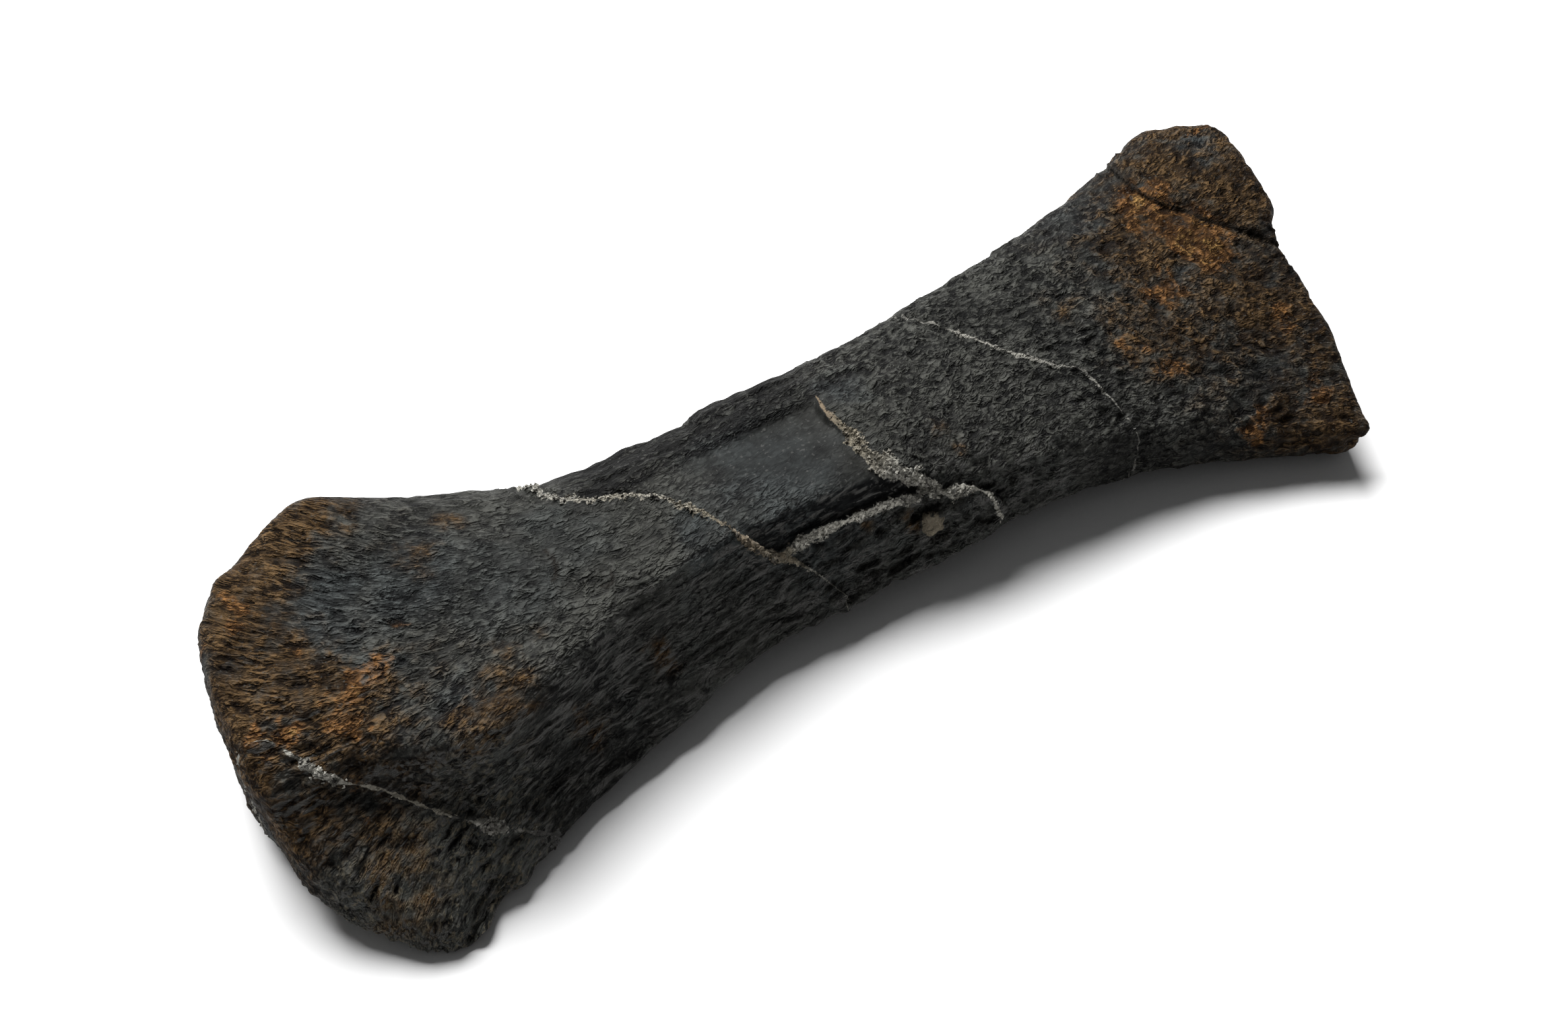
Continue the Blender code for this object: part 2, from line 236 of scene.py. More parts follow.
def grain(points):
    """How far along its fibre a point is, the fibre's number, and its level of fineness."""
    x, y = points[:, :2].T
    spread = (NEAR_FAN * np.maximum(0, NEAR_FAN_FROM - x) ** 2
              + FAR_FAN * np.maximum(0, x - FAR_FAN_FROM) ** 2)
    middle = np.interp(x, (NEAR_FAN_FROM, FAR_FAN_FROM), (NEAR_FAN_Y, FAR_FAN_Y))
    along = x + SHORTER_STROKES * np.maximum(0, x - KNOBBLY_FROM)
    return np.stack([along, (y - middle) * np.exp(-spread), spread / np.log(2)], axis=1)


def along_fibres(kind, points, size, seed):
    """Noise of one kind whose lumps are stretched along the fibres and equally thin everywhere."""
    along, number, fineness = grain(points).T
    level = np.floor(fineness)
    coarse, fine = (kind(np.stack([along, number * 2 ** split, points[:, 2]], axis=1), size, seed)
                    for split in (level, level + 1))
    return coarse + (fine - coarse) * ease(fineness - level, 0, 1)


# %% [markdown]
# ## The old breaks
#
# The bone was broken and glued together before it was laid in its case. Each break is a line
# over the skin. Each stretch of it has its own half width of filling, its own warmth, from
# grey grit to white plaster to rusty bone edge, and its own height over the groove that the
# solid has there. The lines go right through the bone, so they carry on round the back and below.

# %% Lines of the breaks
# x, y, z, half width, warmth and height at each point, in millimetres. They are measured from the
# axes that the bone was lofted on, and TO_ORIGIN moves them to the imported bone.
TO_ORIGIN = np.array((-0.57, -0.9, 0.0))
BREAKS = {
    "near": [
        (-44.5, 24.5, 19, 0.3, 0.2, 0.3), (-43, 20, 21.6, 1.05, 0.3, 0.6),
        (-40.5, 15.4, 23, 1.2, 0.35, 0.5), (-36.5, 12.7, 23.6, 1.05, 0.4, 0.45),
        (-33, 11, 23.8, 1.0, 0.42, 0.45), (-30, 8.3, 24.1, 1.0, 0.4, 0.45),
        (-27.5, 4.8, 24.6, 1.0, 0.42, 0.4), (-25.3, 1.2, 24.8, 0.95, 0.48, 0.4),
        (-24, -2.2, 24.8, 0.8, 0.62, 0.35), (-23, -5.7, 24.4, 0.85, 0.7, 0.35),
        (-20.7, -7.4, 21.5, 0.85, 0.7, 0.35), (-17.8, -8.3, 17.8, 0.8, 0.6, 0.3),
        (-15.5, -9.3, 15.9, 0.45, 0.6, 0.2), (-12.6, -11.2, 12.6, 0.15, 0.2, 0.3),
        (-9, -14, 7.5, 0.12, 0.2, 0.3)],
    "middle": [
        (3.6, 13, 21.5, 0.12, 0.75, 0.0), (2.2, 8.5, 22.5, 0.25, 0.75, 0.05),
        (2.0, 4.4, 23, 0.7, 0.62, 0.1), (1.9, 1.5, 23.2, 1.0, 0.55, 0.2),
        (1.5, -2.3, 23.2, 1.15, 0.45, 0.3), (2.3, -5.8, 22.7, 1.3, 0.4, 0.4),
        (3.9, -8.4, 21.6, 1.6, 0.3, 0.5), (6.3, -10.4, 19.7, 1.5, 0.3, 0.5),
        (9.6, -12.2, 17.8, 1.0, 0.3, 0.3)],
    "ledge": [
        (-17.2, -8.5, 17.4, 0.5, 0.7, 0.3), (-14.3, -8.3, 17.9, 0.8, 0.3, 0.4),
        (-11.9, -8.3, 18.3, 0.95, 0.3, 0.4), (-8.5, -8.6, 18.3, 0.75, 0.3, 0.4),
        (-5, -8.9, 18.2, 0.55, 0.3, 0.35), (-0.5, -9.5, 18.1, 0.55, 0.25, 0.35),
        (3.5, -10.2, 17.9, 0.7, 0.2, 0.4), (6.5, -11.3, 17.6, 0.8, 0.2, 0.4)],
    "far": [
        (26.6, 21.6, 17.8, 0.12, 0.1, 0.2), (28.9, 15.9, 19.9, 0.16, 0.15, 0.3),
        (30.8, 9.8, 20.8, 0.22, 0.2, 0.4), (34.5, 2.7, 20.8, 0.3, 0.2, 0.4),
        (39, -3.3, 20, 0.2, 0.15, 0.4), (42.4, -5.9, 19.4, 0.12, 0.1, 0.3),
        (42.9, -9.5, 18.5, 0.14, 0.15, 0.3), (43.8, -15.2, 16.1, 0.08, 0.1, 0.3)],
    "lobe": [
        (-99, 3, 21.5, 0.0, 0.2, 0.5), (-95.6, 1.8, 23.3, 0.1, 0.3, 0.5),
        (-93.2, -2.6, 21.8, 0.6, 0.25, 0.6), (-90.7, -6.7, 19.8, 0.5, 0.3, 0.6),
        (-85.8, -9.9, 17.1, 0.2, 0.4, 0.6), (-78.8, -16.5, 12.6, 0.35, 0.4, 0.6),
        (-74.6, -19.6, 10.4, 0.6, 0.2, 0.6), (-69.9, -21.7, 7.1, 0.5, 0.1, 0.5),
        (-65.5, -22.8, 3.6, 0.25, 0.0, 0.3)],
    "knob rim": [
        (9.6, -12.2, 17.8, 0.8, 0.3, 0.3), (11.5, -12.7, 16.8, 0.9, 0.3, 0.5),
        (14.4, -13.2, 16.3, 0.6, 0.3, 0.5), (16.2, -14.3, 15.3, 0.42, 0.3, 0.5),
        (17.2, -15.6, 13.8, 0.38, 0.3, 0.5), (18.1, -16.1, 11.2, 0.34, 0.3, 0.4),
        (19, -15.7, 7.5, 0.2, 0.25, 0.2)],
    "pebble": [
        (6.6, -13.3, 13.9, 2.1, 0.62, 0.0), (7.7, -13.8, 12.4, 2.1, 0.62, 0.0)],
    "hook": [
        (-48.2, 7.8, 24.6, 0.05, 0, 0), (-47.9, 5.4, 24.9, 0.1, 0, 0), (-49.0, 2.1, 25.1, 0.1, 0, 0),
        (-50.8, 1.2, 25.3, 0.05, 0, 0)],
    "nick": [
        (-42.3, -1.2, 24.9, 0.05, 0, 0), (-43.5, -4.2, 24.8, 0.12, 0, 0), (-45.2, -2.4, 24.8, 0.05, 0, 0)],
    "corner": [
        (83.8, 34.4, 12, 0.1, 0, 0.3), (78.7, 29.5, 18, 0.1, 0, 0.4), (77.1, 24.9, 19.7, 0.1, 0, 0.4),
        (76.7, 17.9, 20.5, 0.1, 0, 0.3), (79.5, 12.6, 20.3, 0.15, 0, 0.1),
        (81.7, 8.3, 19.8, 0.15, 0, 0.0), (84.6, 4.9, 19.3, 0.15, 0, 0.1), (88.5, -0.1, 18.5, 0.1, 0, 0.3),
        (91, -2, 14, 0.1, 0, 0.3)],
    "near under": [
        (-44.5, 24.5, 19, 0.3, 0.2, 0.3), (-45.5, 27, 11, 0.2, 0.15, 0.3), (-42, 22, 4.2, 0.3, 0.2, 0.3),
        (-33, 12, 3.4, 0.4, 0.2, 0.3), (-23, 0, 3.5, 0.3, 0.3, 0.3), (-13, -8, 3.4, 0.2, 0.2, 0.3),
        (-9, -14, 7.5, 0.12, 0.2, 0.3)],
    "far under": [
        (26.6, 21.6, 17.8, 0.15, 0.1, 0.2), (25.5, 25.3, 10, 0.2, 0.1, 0.2), (27, 20, 4.2, 0.3, 0.1, 0.2),
        (32, 8, 3.5, 0.3, 0.2, 0.2), (38, -6, 3.3, 0.3, 0.2, 0.2), (43, -14.5, 3.5, 0.2, 0.1, 0.2),
        (44.5, -17.5, 9, 0.15, 0.1, 0.2), (43.8, -15.2, 16.1, 0.12, 0.1, 0.2)],
    "lobe under": [
        (-99, 3, 21.5, 0.15, 0.2, 0.2), (-100.4, 2, 14, 0.2, 0.2, 0.2), (-99.6, 1, 6, 0.3, 0.2, 0.2),
        (-95, -2, 1.8, 0.4, 0.1, 0.2), (-86, -7, 1.6, 0.4, 0.2, 0.2), (-76, -14, 1.5, 0.4, 0.1, 0.2),
        (-65.5, -22.8, 3.6, 0.3, 0.0, 0.2)],
    "corner under": [
        (83.8, 34.4, 12, 0.1, 0, 0.2), (86, 31, 3, 0.1, 0, 0.2), (82, 22, 1, 0.1, 0, 0.2),
        (82.5, 10, 1.4, 0.1, 0, 0.2), (86, 1, 1.6, 0.1, 0, 0.2), (90.5, -3, 4, 0.1, 0, 0.2),
        (91, -2, 14, 0.1, 0, 0.2)],
}

# %% A smooth line through the points
LINE_SPACING = 0.4


def smooth_line(stations):
    """Rows on a Catmull-Rom curve through the stations, about one spacing apart."""
    rows = np.array(stations, float)
    rows[:, :3] += TO_ORIGIN
    padded = np.concatenate([2 * rows[:1] - rows[1:2], rows, 2 * rows[-1:] - rows[-2:-1]])
    made = []
    for a, b, c, d in zip(padded, padded[1:], padded[2:], padded[3:]):
        steps = max(2, round(np.linalg.norm(c[:3] - b[:3]) / LINE_SPACING))
        for t in np.arange(steps) / steps:
            made.append(0.5 * (2 * b + (c - a) * t + (2 * a - 5 * b + 4 * c - d) * t ** 2
                               + (3 * b - a - 3 * c + d) * t ** 3))
    made.append(rows[-1])
    return np.array(made)


# %% Lay each line on the skin
CALM_ROWS = 9


def calmed(rows):
    """Rows averaged with their neighbours along a line."""
    padded = np.pad(rows, ((CALM_ROWS // 2, CALM_ROWS // 2), (0, 0)), mode="edge")
    return sum(padded[k:k + len(rows)] for k in range(CALM_ROWS)) / CALM_ROWS


def unit(rows):
    return rows / np.linalg.norm(rows, axis=1)[:, None]


def laid_on(skin_tree, rows):
    """A line laid on the skin: its rows, and at each the directions along and to the left."""
    found = [skin_tree.find_nearest(Vector(row[:3]) * MM) for row in rows]
    on_skin = calmed(np.array([place for place, normal, face, gap in found]) / MM)
    up = unit(calmed(np.array([normal for place, normal, face, gap in found])))
    along = unit(np.gradient(on_skin, axis=0))
    left = unit(np.cross(up, along))
    return np.concatenate([on_skin, rows[:, 3:]], axis=1), along, left


skin_tree = BVHTree.FromObject(skin, bpy.context.evaluated_depsgraph_get())
lines = {name: laid_on(skin_tree, smooth_line(stations)) for name, stations in BREAKS.items()}

# %% [markdown]
# No line of filling is even. Its half width is multiplied by noise, gently in the wide breaks and
# strongly in the thin ones. Where the factor falls below zero, a stretch has lost its filling.

# %% Make the filling uneven
UNEVEN = {"lobe": 2.7, "far": 1.8, "middle": 0.75, "ledge": 1.05, "knob rim": 1.05,
          "near under": 2.4, "far under": 2.4, "lobe under": 2.4}
UNEVEN_ELSEWHERE, UNEVEN_LENGTH, LOST = 0.375, 1.8, -1.0

for name, (rows, _, _) in lines.items():
    factor = 1 + UNEVEN.get(name, UNEVEN_ELSEWHERE) * bumps(rows[:, :3], UNEVEN_LENGTH, 21)
    rows[:, 3] *= np.maximum(LOST, factor)
    length = np.linalg.norm(np.diff(rows[:, :3], axis=0), axis=1).sum()
    print(f"the {name} line is {length:.0f} mm long")

# %% [markdown]
# A point's place beside a break is measured to the left of the line, along the skin. Far from the
# line the half width sinks far below zero, so that nothing is drawn where the sides meet again.

# %% Distance to a break
REACH = 4.0
THINNING = 3.0


def seam(points, line):
    """How far left of a break, half width, warmth and height of its filling, at each point."""
    rows, along, left = line
    low, high = rows[:, :3].min(0) - REACH, rows[:, :3].max(0) + REACH
    near = np.flatnonzero(((points > low) & (points < high)).all(1))
    gaps = np.linalg.norm(points[near, None] - rows[None, :, :3], axis=2)
    nearest = gaps.argmin(1)
    offset = points[near] - rows[nearest, :3]
    beyond_end = np.abs((offset * along[nearest]).sum(1))
    beyond_end *= (nearest == 0) | (nearest == len(rows) - 1)
    found = np.tile((REACH, -THINNING * REACH, 0.0, 0.0), (len(points), 1))
    found[near, 0] = (offset * left[nearest]).sum(1)
    gap = gaps[np.arange(len(near)), nearest]
    found[near, 1] = rows[nearest, 3] - beyond_end - THINNING * np.maximum(0.0, gap - 0.5 * REACH)
    found[near, 2:] = rows[nearest, 4:]
    return found


# %% [markdown]
# ## Parts of the surface
#
# The bone doesn't look the same all over. A smooth plate lies between two breaks, with a bare wall
# in front of it and a strip of splintered bone behind it. The near end is spongy and has a lobe
# that droops over the front, and the far half is knobbly. Each part is a number from 0 to 1 at
# every point, with soft edges, and the relief and the colours are both mixed by these numbers.

# %% Where the parts begin and where they are fully reached
# In millimetres along the axis that ends the name, or for FACES as a component of the normal.
BREAK_EDGE = (-0.3, 0.3)
PLATE_BACK_Y, PLATE_Z = (10.5, 12.5), (17, 18.5)
FIBROUS_CORNER, CORNER_SLANT, SMOOTH_FROM = 0.35, 0.8, (-19, -9)
NEAR_END_X = (-48, -88)
FAR_HALF_X, FAR_END_X, FAR_HALF_START = (2, 12), (30, 70), 0.7
LOBE_X, LOBE_Y = (-62, -74), (-12, -20)
STRIP_X, STRIP_END_X = (-42, -34), (-4, 12)
FACES_FRONT, FACES_UP = (-0.3, -0.7), (0.3, 0.8)


def crossing(points, line):
    """Where a break crosses the bone, as an X for each point's Y."""
    run = line[0][::-1] if line[0][0, 1] > line[0][-1, 1] else line[0]
    return np.interp(points[:, 1], run[:, 1], run[:, 0])


def regions(points, normals):
    """How far each point belongs to the plate, near end, far half, front flank and lobe."""
    x, y, z = points.T
    plate = ease(x - crossing(points, lines["near"]), *BREAK_EDGE)
    plate *= 1 - ease(x - crossing(points, lines["middle"]), *BREAK_EDGE)
    plate *= (1 - ease(y, *PLATE_BACK_Y)) * ease(z, *PLATE_Z)
    plate *= FIBROUS_CORNER + (1 - FIBROUS_CORNER) * ease(x + CORNER_SLANT * y, *SMOOTH_FROM)
    near_end = ease(x, *NEAR_END_X)
    far_half = ease(x, *FAR_HALF_X)
    far_half *= FAR_HALF_START + (1 - FAR_HALF_START) * ease(x, *FAR_END_X)
    front = ease(normals[:, 1], *FACES_FRONT)
    lobe = ease(y, *LOBE_Y) * ease(x, *LOBE_X)
    return plate, near_end, far_half, front, lobe


def back_strip(points, normals, from_y):
    """How far each point belongs to the splintered strip behind the plate."""
    strip = ease(points[:, 1], *from_y) * stretch(points[:, 0], STRIP_X, STRIP_END_X)
    return strip * ease(normals[:, 2], *FACES_UP)


# %% [markdown]
# ## Relief
#
# Now the skin is pushed in and out. From coarse to fine the fossil has lumps, chips and splinters
# on its flank and back strip, knobbly spongy bone on its ends, and fibres everywhere but on the
# smooth plate, where the outer layer flaked off. The rims of both ends are worn, so the relief is
# lower there. The edges of the plate are broken edges, so the steps that the solid has there are
# made crisp. The filling stands up as a rough bead in each groove.

# %% Kinds of relief
# Heights in millimetres, and the size of the lumps, with the length along the fibres first.
LUMPS, LUMP_SIZE = 0.35, 6.0
SMALL_LUMPS, LOBE_LUMPS, SMALL_LUMP_SIZE = 0.24, 0.2, 2.8
CHIPS, CHIP_SIZE = 0.75, (5.0, 2.0, 2.0)
SPLINTERS, SPLINTER_SIZE = 0.45, (12.0, 1.3, 1.3)
FLANK_RIDGES, FLANK_RIDGE_SIZE = 0.32, (9.0, 1.6, 1.6)
KNOB_SIZE, FIBRE_SIZE = (3.2, 1.7, 1.7), (2.4, 0.9, 0.9)
CALMER = 0.6
SHELF, SHELF_X, SHELF_END_X, SHELF_Y = 0.6, (-14.4, -14.0), (-4, 14), (18.2, 18.7)
CHIPPED_X, CHIPPED_END_X, CHIPPED_TOP_Z = (-25, -12), (22, 34), (17, 18)
FACES_STEEPLY = (-0.4, -0.8)
FLANK_END_X = (60, 75)
RIM_FACES_OUT, RIM_FACES_UP, RIM_FROM_MIDDLE = (0.3, 0.6), (0.0, 0.3), (50, 75)
CREST, CREST_SLOPE = 0.55, 2.4


def crests(points, size, seed):
    """Noise with sharp crests that wander like worms, and round hollows between them."""
    return CREST - CREST_SLOPE * np.abs(bumps(points, size, seed))


def bone_relief(points, normals):
    """How high the lumps and how high the fine forms of the bone stand, in millimetres."""
    x, y, z = points.T
    plate, near_end, far_half, front, lobe = regions(points, normals)
    chipped = ease(normals[:, 1], *FACES_STEEPLY) * stretch(x, CHIPPED_X, CHIPPED_END_X)
    chipped *= 1 - ease(z, *CHIPPED_TOP_Z)
    flank = front * (1 - lobe) * (1 - ease(x, *FLANK_END_X))
    swell = LUMPS * bumps(points, LUMP_SIZE)
    swell += (SMALL_LUMPS + LOBE_LUMPS * lobe) * bumps(points, SMALL_LUMP_SIZE, 5)
    swell += CHIPS * chipped * along_fibres(crests, points, CHIP_SIZE, 7)
    swell += (SPLINTERS * back_strip(points, normals, PLATE_BACK_Y)
              * along_fibres(bumps, points, SPLINTER_SIZE, 9))
    swell += FLANK_RIDGES * flank * along_fibres(crests, points, FLANK_RIDGE_SIZE, 13)
    # Knobs and fibres stand a little up everywhere, and more in the parts where they are named.
    knobs = 0.15 + 0.22 * near_end + 0.3 * far_half * (1 - 0.5 * flank) + 0.12 * chipped + 0.2 * lobe
    knobs *= along_fibres(crests, points, KNOB_SIZE, 11)
    fibres = 0.10 + 0.14 * near_end + 0.05 * far_half
    fibres *= along_fibres(bumps, points, FIBRE_SIZE, 3)
    sideways = np.hypot(normals[:, 0], np.maximum(normals[:, 1], 0.0))
    rim = ease(sideways, *RIM_FACES_OUT) * ease(normals[:, 2], *RIM_FACES_UP)
    rim *= ease(np.abs(x), *RIM_FROM_MIDDLE)
    swell *= (1 - CALMER * plate) * (1 - CALMER * rim)
    fine = (1 - plate) * (knobs + fibres) * (1 - CALMER * rim)
    shelf = SHELF * stretch(x, SHELF_X, SHELF_END_X) * ease(y, *SHELF_Y)
    return swell + shelf, fine


# %% Steps, beads and spots
# How far each break steps up or down, how far filling is smeared beside it, and how it wanders.
# A wobble has a height, a size and a seed. At the middle break the edge of the plate is lifted.
STEPS = {"near": -0.3, "far": 0.15, "corner": 0.2, "hook": 0.15, "nick": 0.15}
STEP_SHARP, STEP_SOFT = 0.25, 1.0
BEAD, BEAD_SIZE, BEAD_FROM_WIDTH = 0.3, 0.9, 0.14
SMEARED, SMEARED_ELSEWHERE = {"lobe": 1.1}, 0.5
WANDERING = {"corner": 1.4, "far": 1.3, "hook": 0.5, "nick": 0.5}
PLATE_LIFT, PLATE_LIFT_Y, LIFT_RISE, LIFT_FALL = 0.5, (-2.0, 6.0), (-3.6, -0.4), (-0.4, 0.5)
WOBBLES = ((0.35, 1.6, 41), (0.15, 0.8, 43))
WIDTH_OF_A_LINE = (-3.0, 0.0)

# Single bosses and pits: x, y, z, radius and rise, in millimetres, in the frame of the bone.
SPOTS = [
    (6.6, -14.4, 13.1, 2.4, 1.0), (4.6, -13.2, 14.6, 1.1, -0.9), (-43.3, 19, 22, 1.8, 0.5),
    (-6.5, 4.2, 23.5, 0.5, -0.35), (-2.9, 2.3, 23.0, 0.45, -0.35), (-9.5, 6, 23.5, 0.35, -0.25),
    (-3.2, -1, 23.0, 0.3, -0.2), (86.5, 31.5, 16.5, 6.0, 0.9), (82.5, 32.5, 15.5, 4.5, -1.2),
    (-93.5, 27.2, 22.5, 6.0, -0.7), (92.5, 31.0, 17.0, 6.0, 0.6), (78.2, -35.5, 8.5, 2.5, 0.8),
    (-79.5, -31.0, 2.0, 8.0, -2.4),
]


def relief(points, normals):
    """How far each point moves outwards, in millimetres, and how far its finest forms stand up."""
    rise, fine = bone_relief(points, normals)
    rise = rise + fine
    wobble = sum(high * bumps(points, size, seed) for high, size, seed in WOBBLES)
    for name, line in lines.items():
        across, half_width, _, height = seam(points, line).T
        present = ease(half_width, *WIDTH_OF_A_LINE)
        if name == "middle":
            lift = PLATE_LIFT * ease(points[:, 1], *PLATE_LIFT_Y) * present
            rise += lift * stretch(across, LIFT_RISE, LIFT_FALL)
        across = across + wobble * WANDERING.get(name, 1.0)
        jump = STEPS.get(name, 0.0) * present
        rise += jump * (np.tanh(across / STEP_SHARP) - np.tanh(across / STEP_SOFT))
        edge = 1.1 * half_width + SMEARED.get(name, SMEARED_ELSEWHERE)
        filled = present * (1 - ease(np.abs(across), 0.5 * half_width, edge))
        bead = BEAD * (half_width > BEAD_FROM_WIDTH) * bumps(points, BEAD_SIZE, 31)
        rise += filled * (height + bead)
        fine = fine * (1 - filled)
    for spot_x, spot_y, spot_z, radius, height in SPOTS:
        away = np.linalg.norm(points - (spot_x, spot_y, spot_z), axis=1)
        rise += height * (1 - ease(away, 0.3 * radius, radius))
    return rise, fine


# %% Push the skin in and out
points, normals = surface(skin_mesh)
rise, standing_up = relief(points, normals)
moved = points + rise[:, None] * normals
moved[:, 2] = np.maximum(moved[:, 2], 0.0)
skin_mesh.vertices.foreach_set("co", (moved * MM).ravel())
skin_mesh.attributes.new("standing", "FLOAT", "POINT").data.foreach_set("value", standing_up)
skin_mesh.update()
print("the relief moves points by up to", round(np.linalg.norm(moved - points, axis=1).max(), 2), "mm")

# %% [markdown]
# ## Thin where it is plain
#
# Half a million triangles is more than anyone needs. A decimation merges those that lie in one
# plane and leaves the relief alone.

# %% Decimate
SKIN_TRIANGLES = 190000

thin = skin.modifiers.new("thin where plain", "DECIMATE")
thin.ratio = SKIN_TRIANGLES / (2 * len(skin_mesh.polygons))
thin.use_collapse_triangulate = True
skin_mesh = finished(skin)
skin_mesh.polygons.foreach_set("use_smooth", [True] * len(skin_mesh.polygons))
print("the skin has", len(skin_mesh.polygons), "triangles")

# %% [markdown]
# ## Stains
#
# Iron in the ground water stained the porous ends: a brown rim and orange and ochre patches. The
# blue-grey patches, mostly on the tops, are partly a painted sheen. Each stain is a soft ball of
# strength. Its edge is frayed by moving the points about with noise before the distance is taken,
# and the material breaks it up further.

# %% Places of the stains
# x, y, z, radius and strength of each stain, in millimetres, in the frame of the finished bone.
ORANGE = [
    (-90, 23, 26, 2.5, 0.9), (-92.5, 17.4, 26.2, 1.8, 0.9), (-98, 2.7, 23.5, 1.6, 1.0),
    (-88, 8.3, 25.3, 1.6, 0.8), (-81, 2, 25, 2.5, 1.0), (-85, -2.5, 24, 3, 1.0), (-94, 0, 23, 2, 1.0),
    (-73, 6, 25.5, 1.8, 0.6), (-89, -13.5, 13.4, 1.0, 1.2), (-88.4, -8.6, 18.8, 1.8, 0.8),
    (76, 17, 20, 4.2, 1.1), (73, 11, 20, 3.4, 0.9), (77, 6.5, 20, 4.2, 1.3), (77.5, 1.5, 19, 3.4, 1.2),
    (64.5, -1, 19, 3.6, 0.9), (79.6, -13.9, 16.4, 2.4, 0.8), (51, -5.6, 19.1, 2.2, 0.7),
    (75, -27.5, 12, 2.6, 0.8), (63, -26, 11.3, 2.6, 0.8), (-98.5, 12, 20, 2.5, 0.6),
    (-100, 3, 16, 2.5, 0.6), (-97, 18, 21, 2.2, 0.6), (-92, 27, 22, 2.5, 0.7), (95, 25, 19, 2.2, 0.7),
    (96, 12, 18, 2.2, 0.6), (55, -10.6, 17.7, 2.4, 0.7),
]
BROWN = [
    (-74.4, 29.2, 27.4, 4, 0.8), (-80.6, 28.2, 27, 4.5, 1), (-87, 26, 26, 4, 1), (-93, 18, 26, 4, 1),
    (-97.5, 8, 24, 4, 1), (-100, -1, 20.5, 4, 0.9), (-98, -8, 14, 4, 0.7), (-92, -24, 8, 4, 0.6),
    (-88, 20, 26, 5, 0.5), (-90, 8, 25, 6, 0.6), (-86, -1, 23.5, 6, 0.6), (-68, -12.6, 24.3, 4, 0.8),
    (-71.4, -13.7, 24, 3, 0.8), (-66, 16.6, 26, 2.5, 0.5), (-64, 13.8, 26, 2.5, 0.5),
    (-89.8, -18, 11, 3.5, 0.6), (-88.5, -24.5, 7.5, 4, 0.7), (-85.4, -17.2, 12.2, 2.5, 0.6),
    (-41.3, -12, 13.3, 2.2, 0.7), (-55.3, -15.2, 12.6, 3, 0.5), (-57.3, 19, 25, 2, 0.5),
    (-59.5, -5.6, 25.2, 2.4, 0.5), (-64.2, -14.3, 23.5, 2.4, 0.6), (77, -10.5, 17, 6, 0.7),
    (51.8, -7.5, 18.6, 4, 0.7), (72, 8, 20, 10, 0.55), (60, -6, 18.5, 8, 0.45), (84, 20.7, 22, 5, 0.9),
    (89, 10, 21.5, 6, 0.9), (91, 30, 18.4, 4, 0.8), (97, 19, 21, 3.5, 0.8), (68, -29.5, 10, 3, 0.6),
    (74, -33, 9.5, 4, 0.7), (80, -23, 14, 3, 0.6), (84.3, -14.5, 16, 3, 0.6), (46, 5, 20.6, 3, 0.4),
    (80, -35, 5, 4, 0.6), (86, -20, 8, 5, 0.5), (92, 2, 12, 6, 0.5), (99, 22, 12, 6, 0.5),
    (-3, -9.5, 16.8, 1.5, 0.6), (4.4, -13.2, 14.6, 1.3, 1.0), (14.2, -8.2, 21.3, 2.2, 0.6),
]
BLUE_AND_SHEEN = [
    (-79, 15, 26.7, 5, 1), (-80, 10, 26.2, 4, 0.8), (-71, -10, 24.3, 3.5, 0.9),
    (-78, 1.5, 25.3, 2.5, 0.7), (-100, -3, 8.7, 3, 0.7), (91.4, 21, 21.3, 3.5, 0.9),
    (70.4, 1.3, 19.3, 2.6, 0.7), (64, 22, 18.6, 6, 0.6), (-12, 1.3, 22.6, 11, 0.8),
    (7, 9.4, 21.8, 4, 0.8), (-28, -3.8, 25, 4, 0.8), (-57, 4.4, 25.6, 8, 0.6),
    (-67.6, 11.8, 25.7, 8, 0.7), (-45, 8, 25, 8, 0.5),
]

# %% How strongly each point is stained
STAIN_CORE, STAIN_EDGE = 0.2, 2.1
FRAY, FRAY_SIZE, FINE_FRAY, FINE_FRAY_SIZE = 3.0, 5.0, 1.1, 1.6


def frayed(points):
    """The points, moved about by noise of two sizes."""
    drift = [FRAY * bumps(points, FRAY_SIZE, seed) + FINE_FRAY * bumps(points, FINE_FRAY_SIZE, seed + 0.5)
             for seed in (51, 57, 63)]
    return points + np.stack(drift, axis=1)


def stain(points, places_of_stains):
    """The strongest stain at each point, fading from its middle to twice its radius."""
    strongest = np.zeros(len(points))
    for x, y, z, radius, strength in places_of_stains:
        away = np.linalg.norm(points - (x, y, z), axis=1) / radius
        strongest = np.maximum(strongest, strength * (1 - ease(away, STAIN_CORE, STAIN_EDGE)))
    return strongest


points, normals = surface(skin_mesh)
adrift = frayed(points)
stains = np.stack([stain(adrift, places_of_stains) for places_of_stains in (ORANGE, BROWN, BLUE_AND_SHEEN)], 1)
print("stained more than half by orange, brown and blue:", (stains > 0.5).sum(0), "points")

# %% [markdown]
# ## Numbers for the material
#
# The material can't know where the breaks are, or which way the fibres run. So each point of the
# skin carries those numbers, and the shader reads them by name. Each attribute holds three.

# %% How dark, how spongy and how lively the bone is, with painted shade and light on its flanks
DARK_STRIP_Y = (10, 12)
WALL_X, WALL_END_X, WALL_Z = (-24, -18), (6, 12), (17.2, 18)
FAR_FLANK_X, NEAR_FLANK_X, NEAR_FLANK_FACES = (30, 40), (-38, -50), (-0.2, -0.5)
SHAFT_X, SHAFT_END_X = (-62, -50), (4, 10)
SPONGY_FAR_X, DARKER_FAR_X = (40, 75), (45, 70)


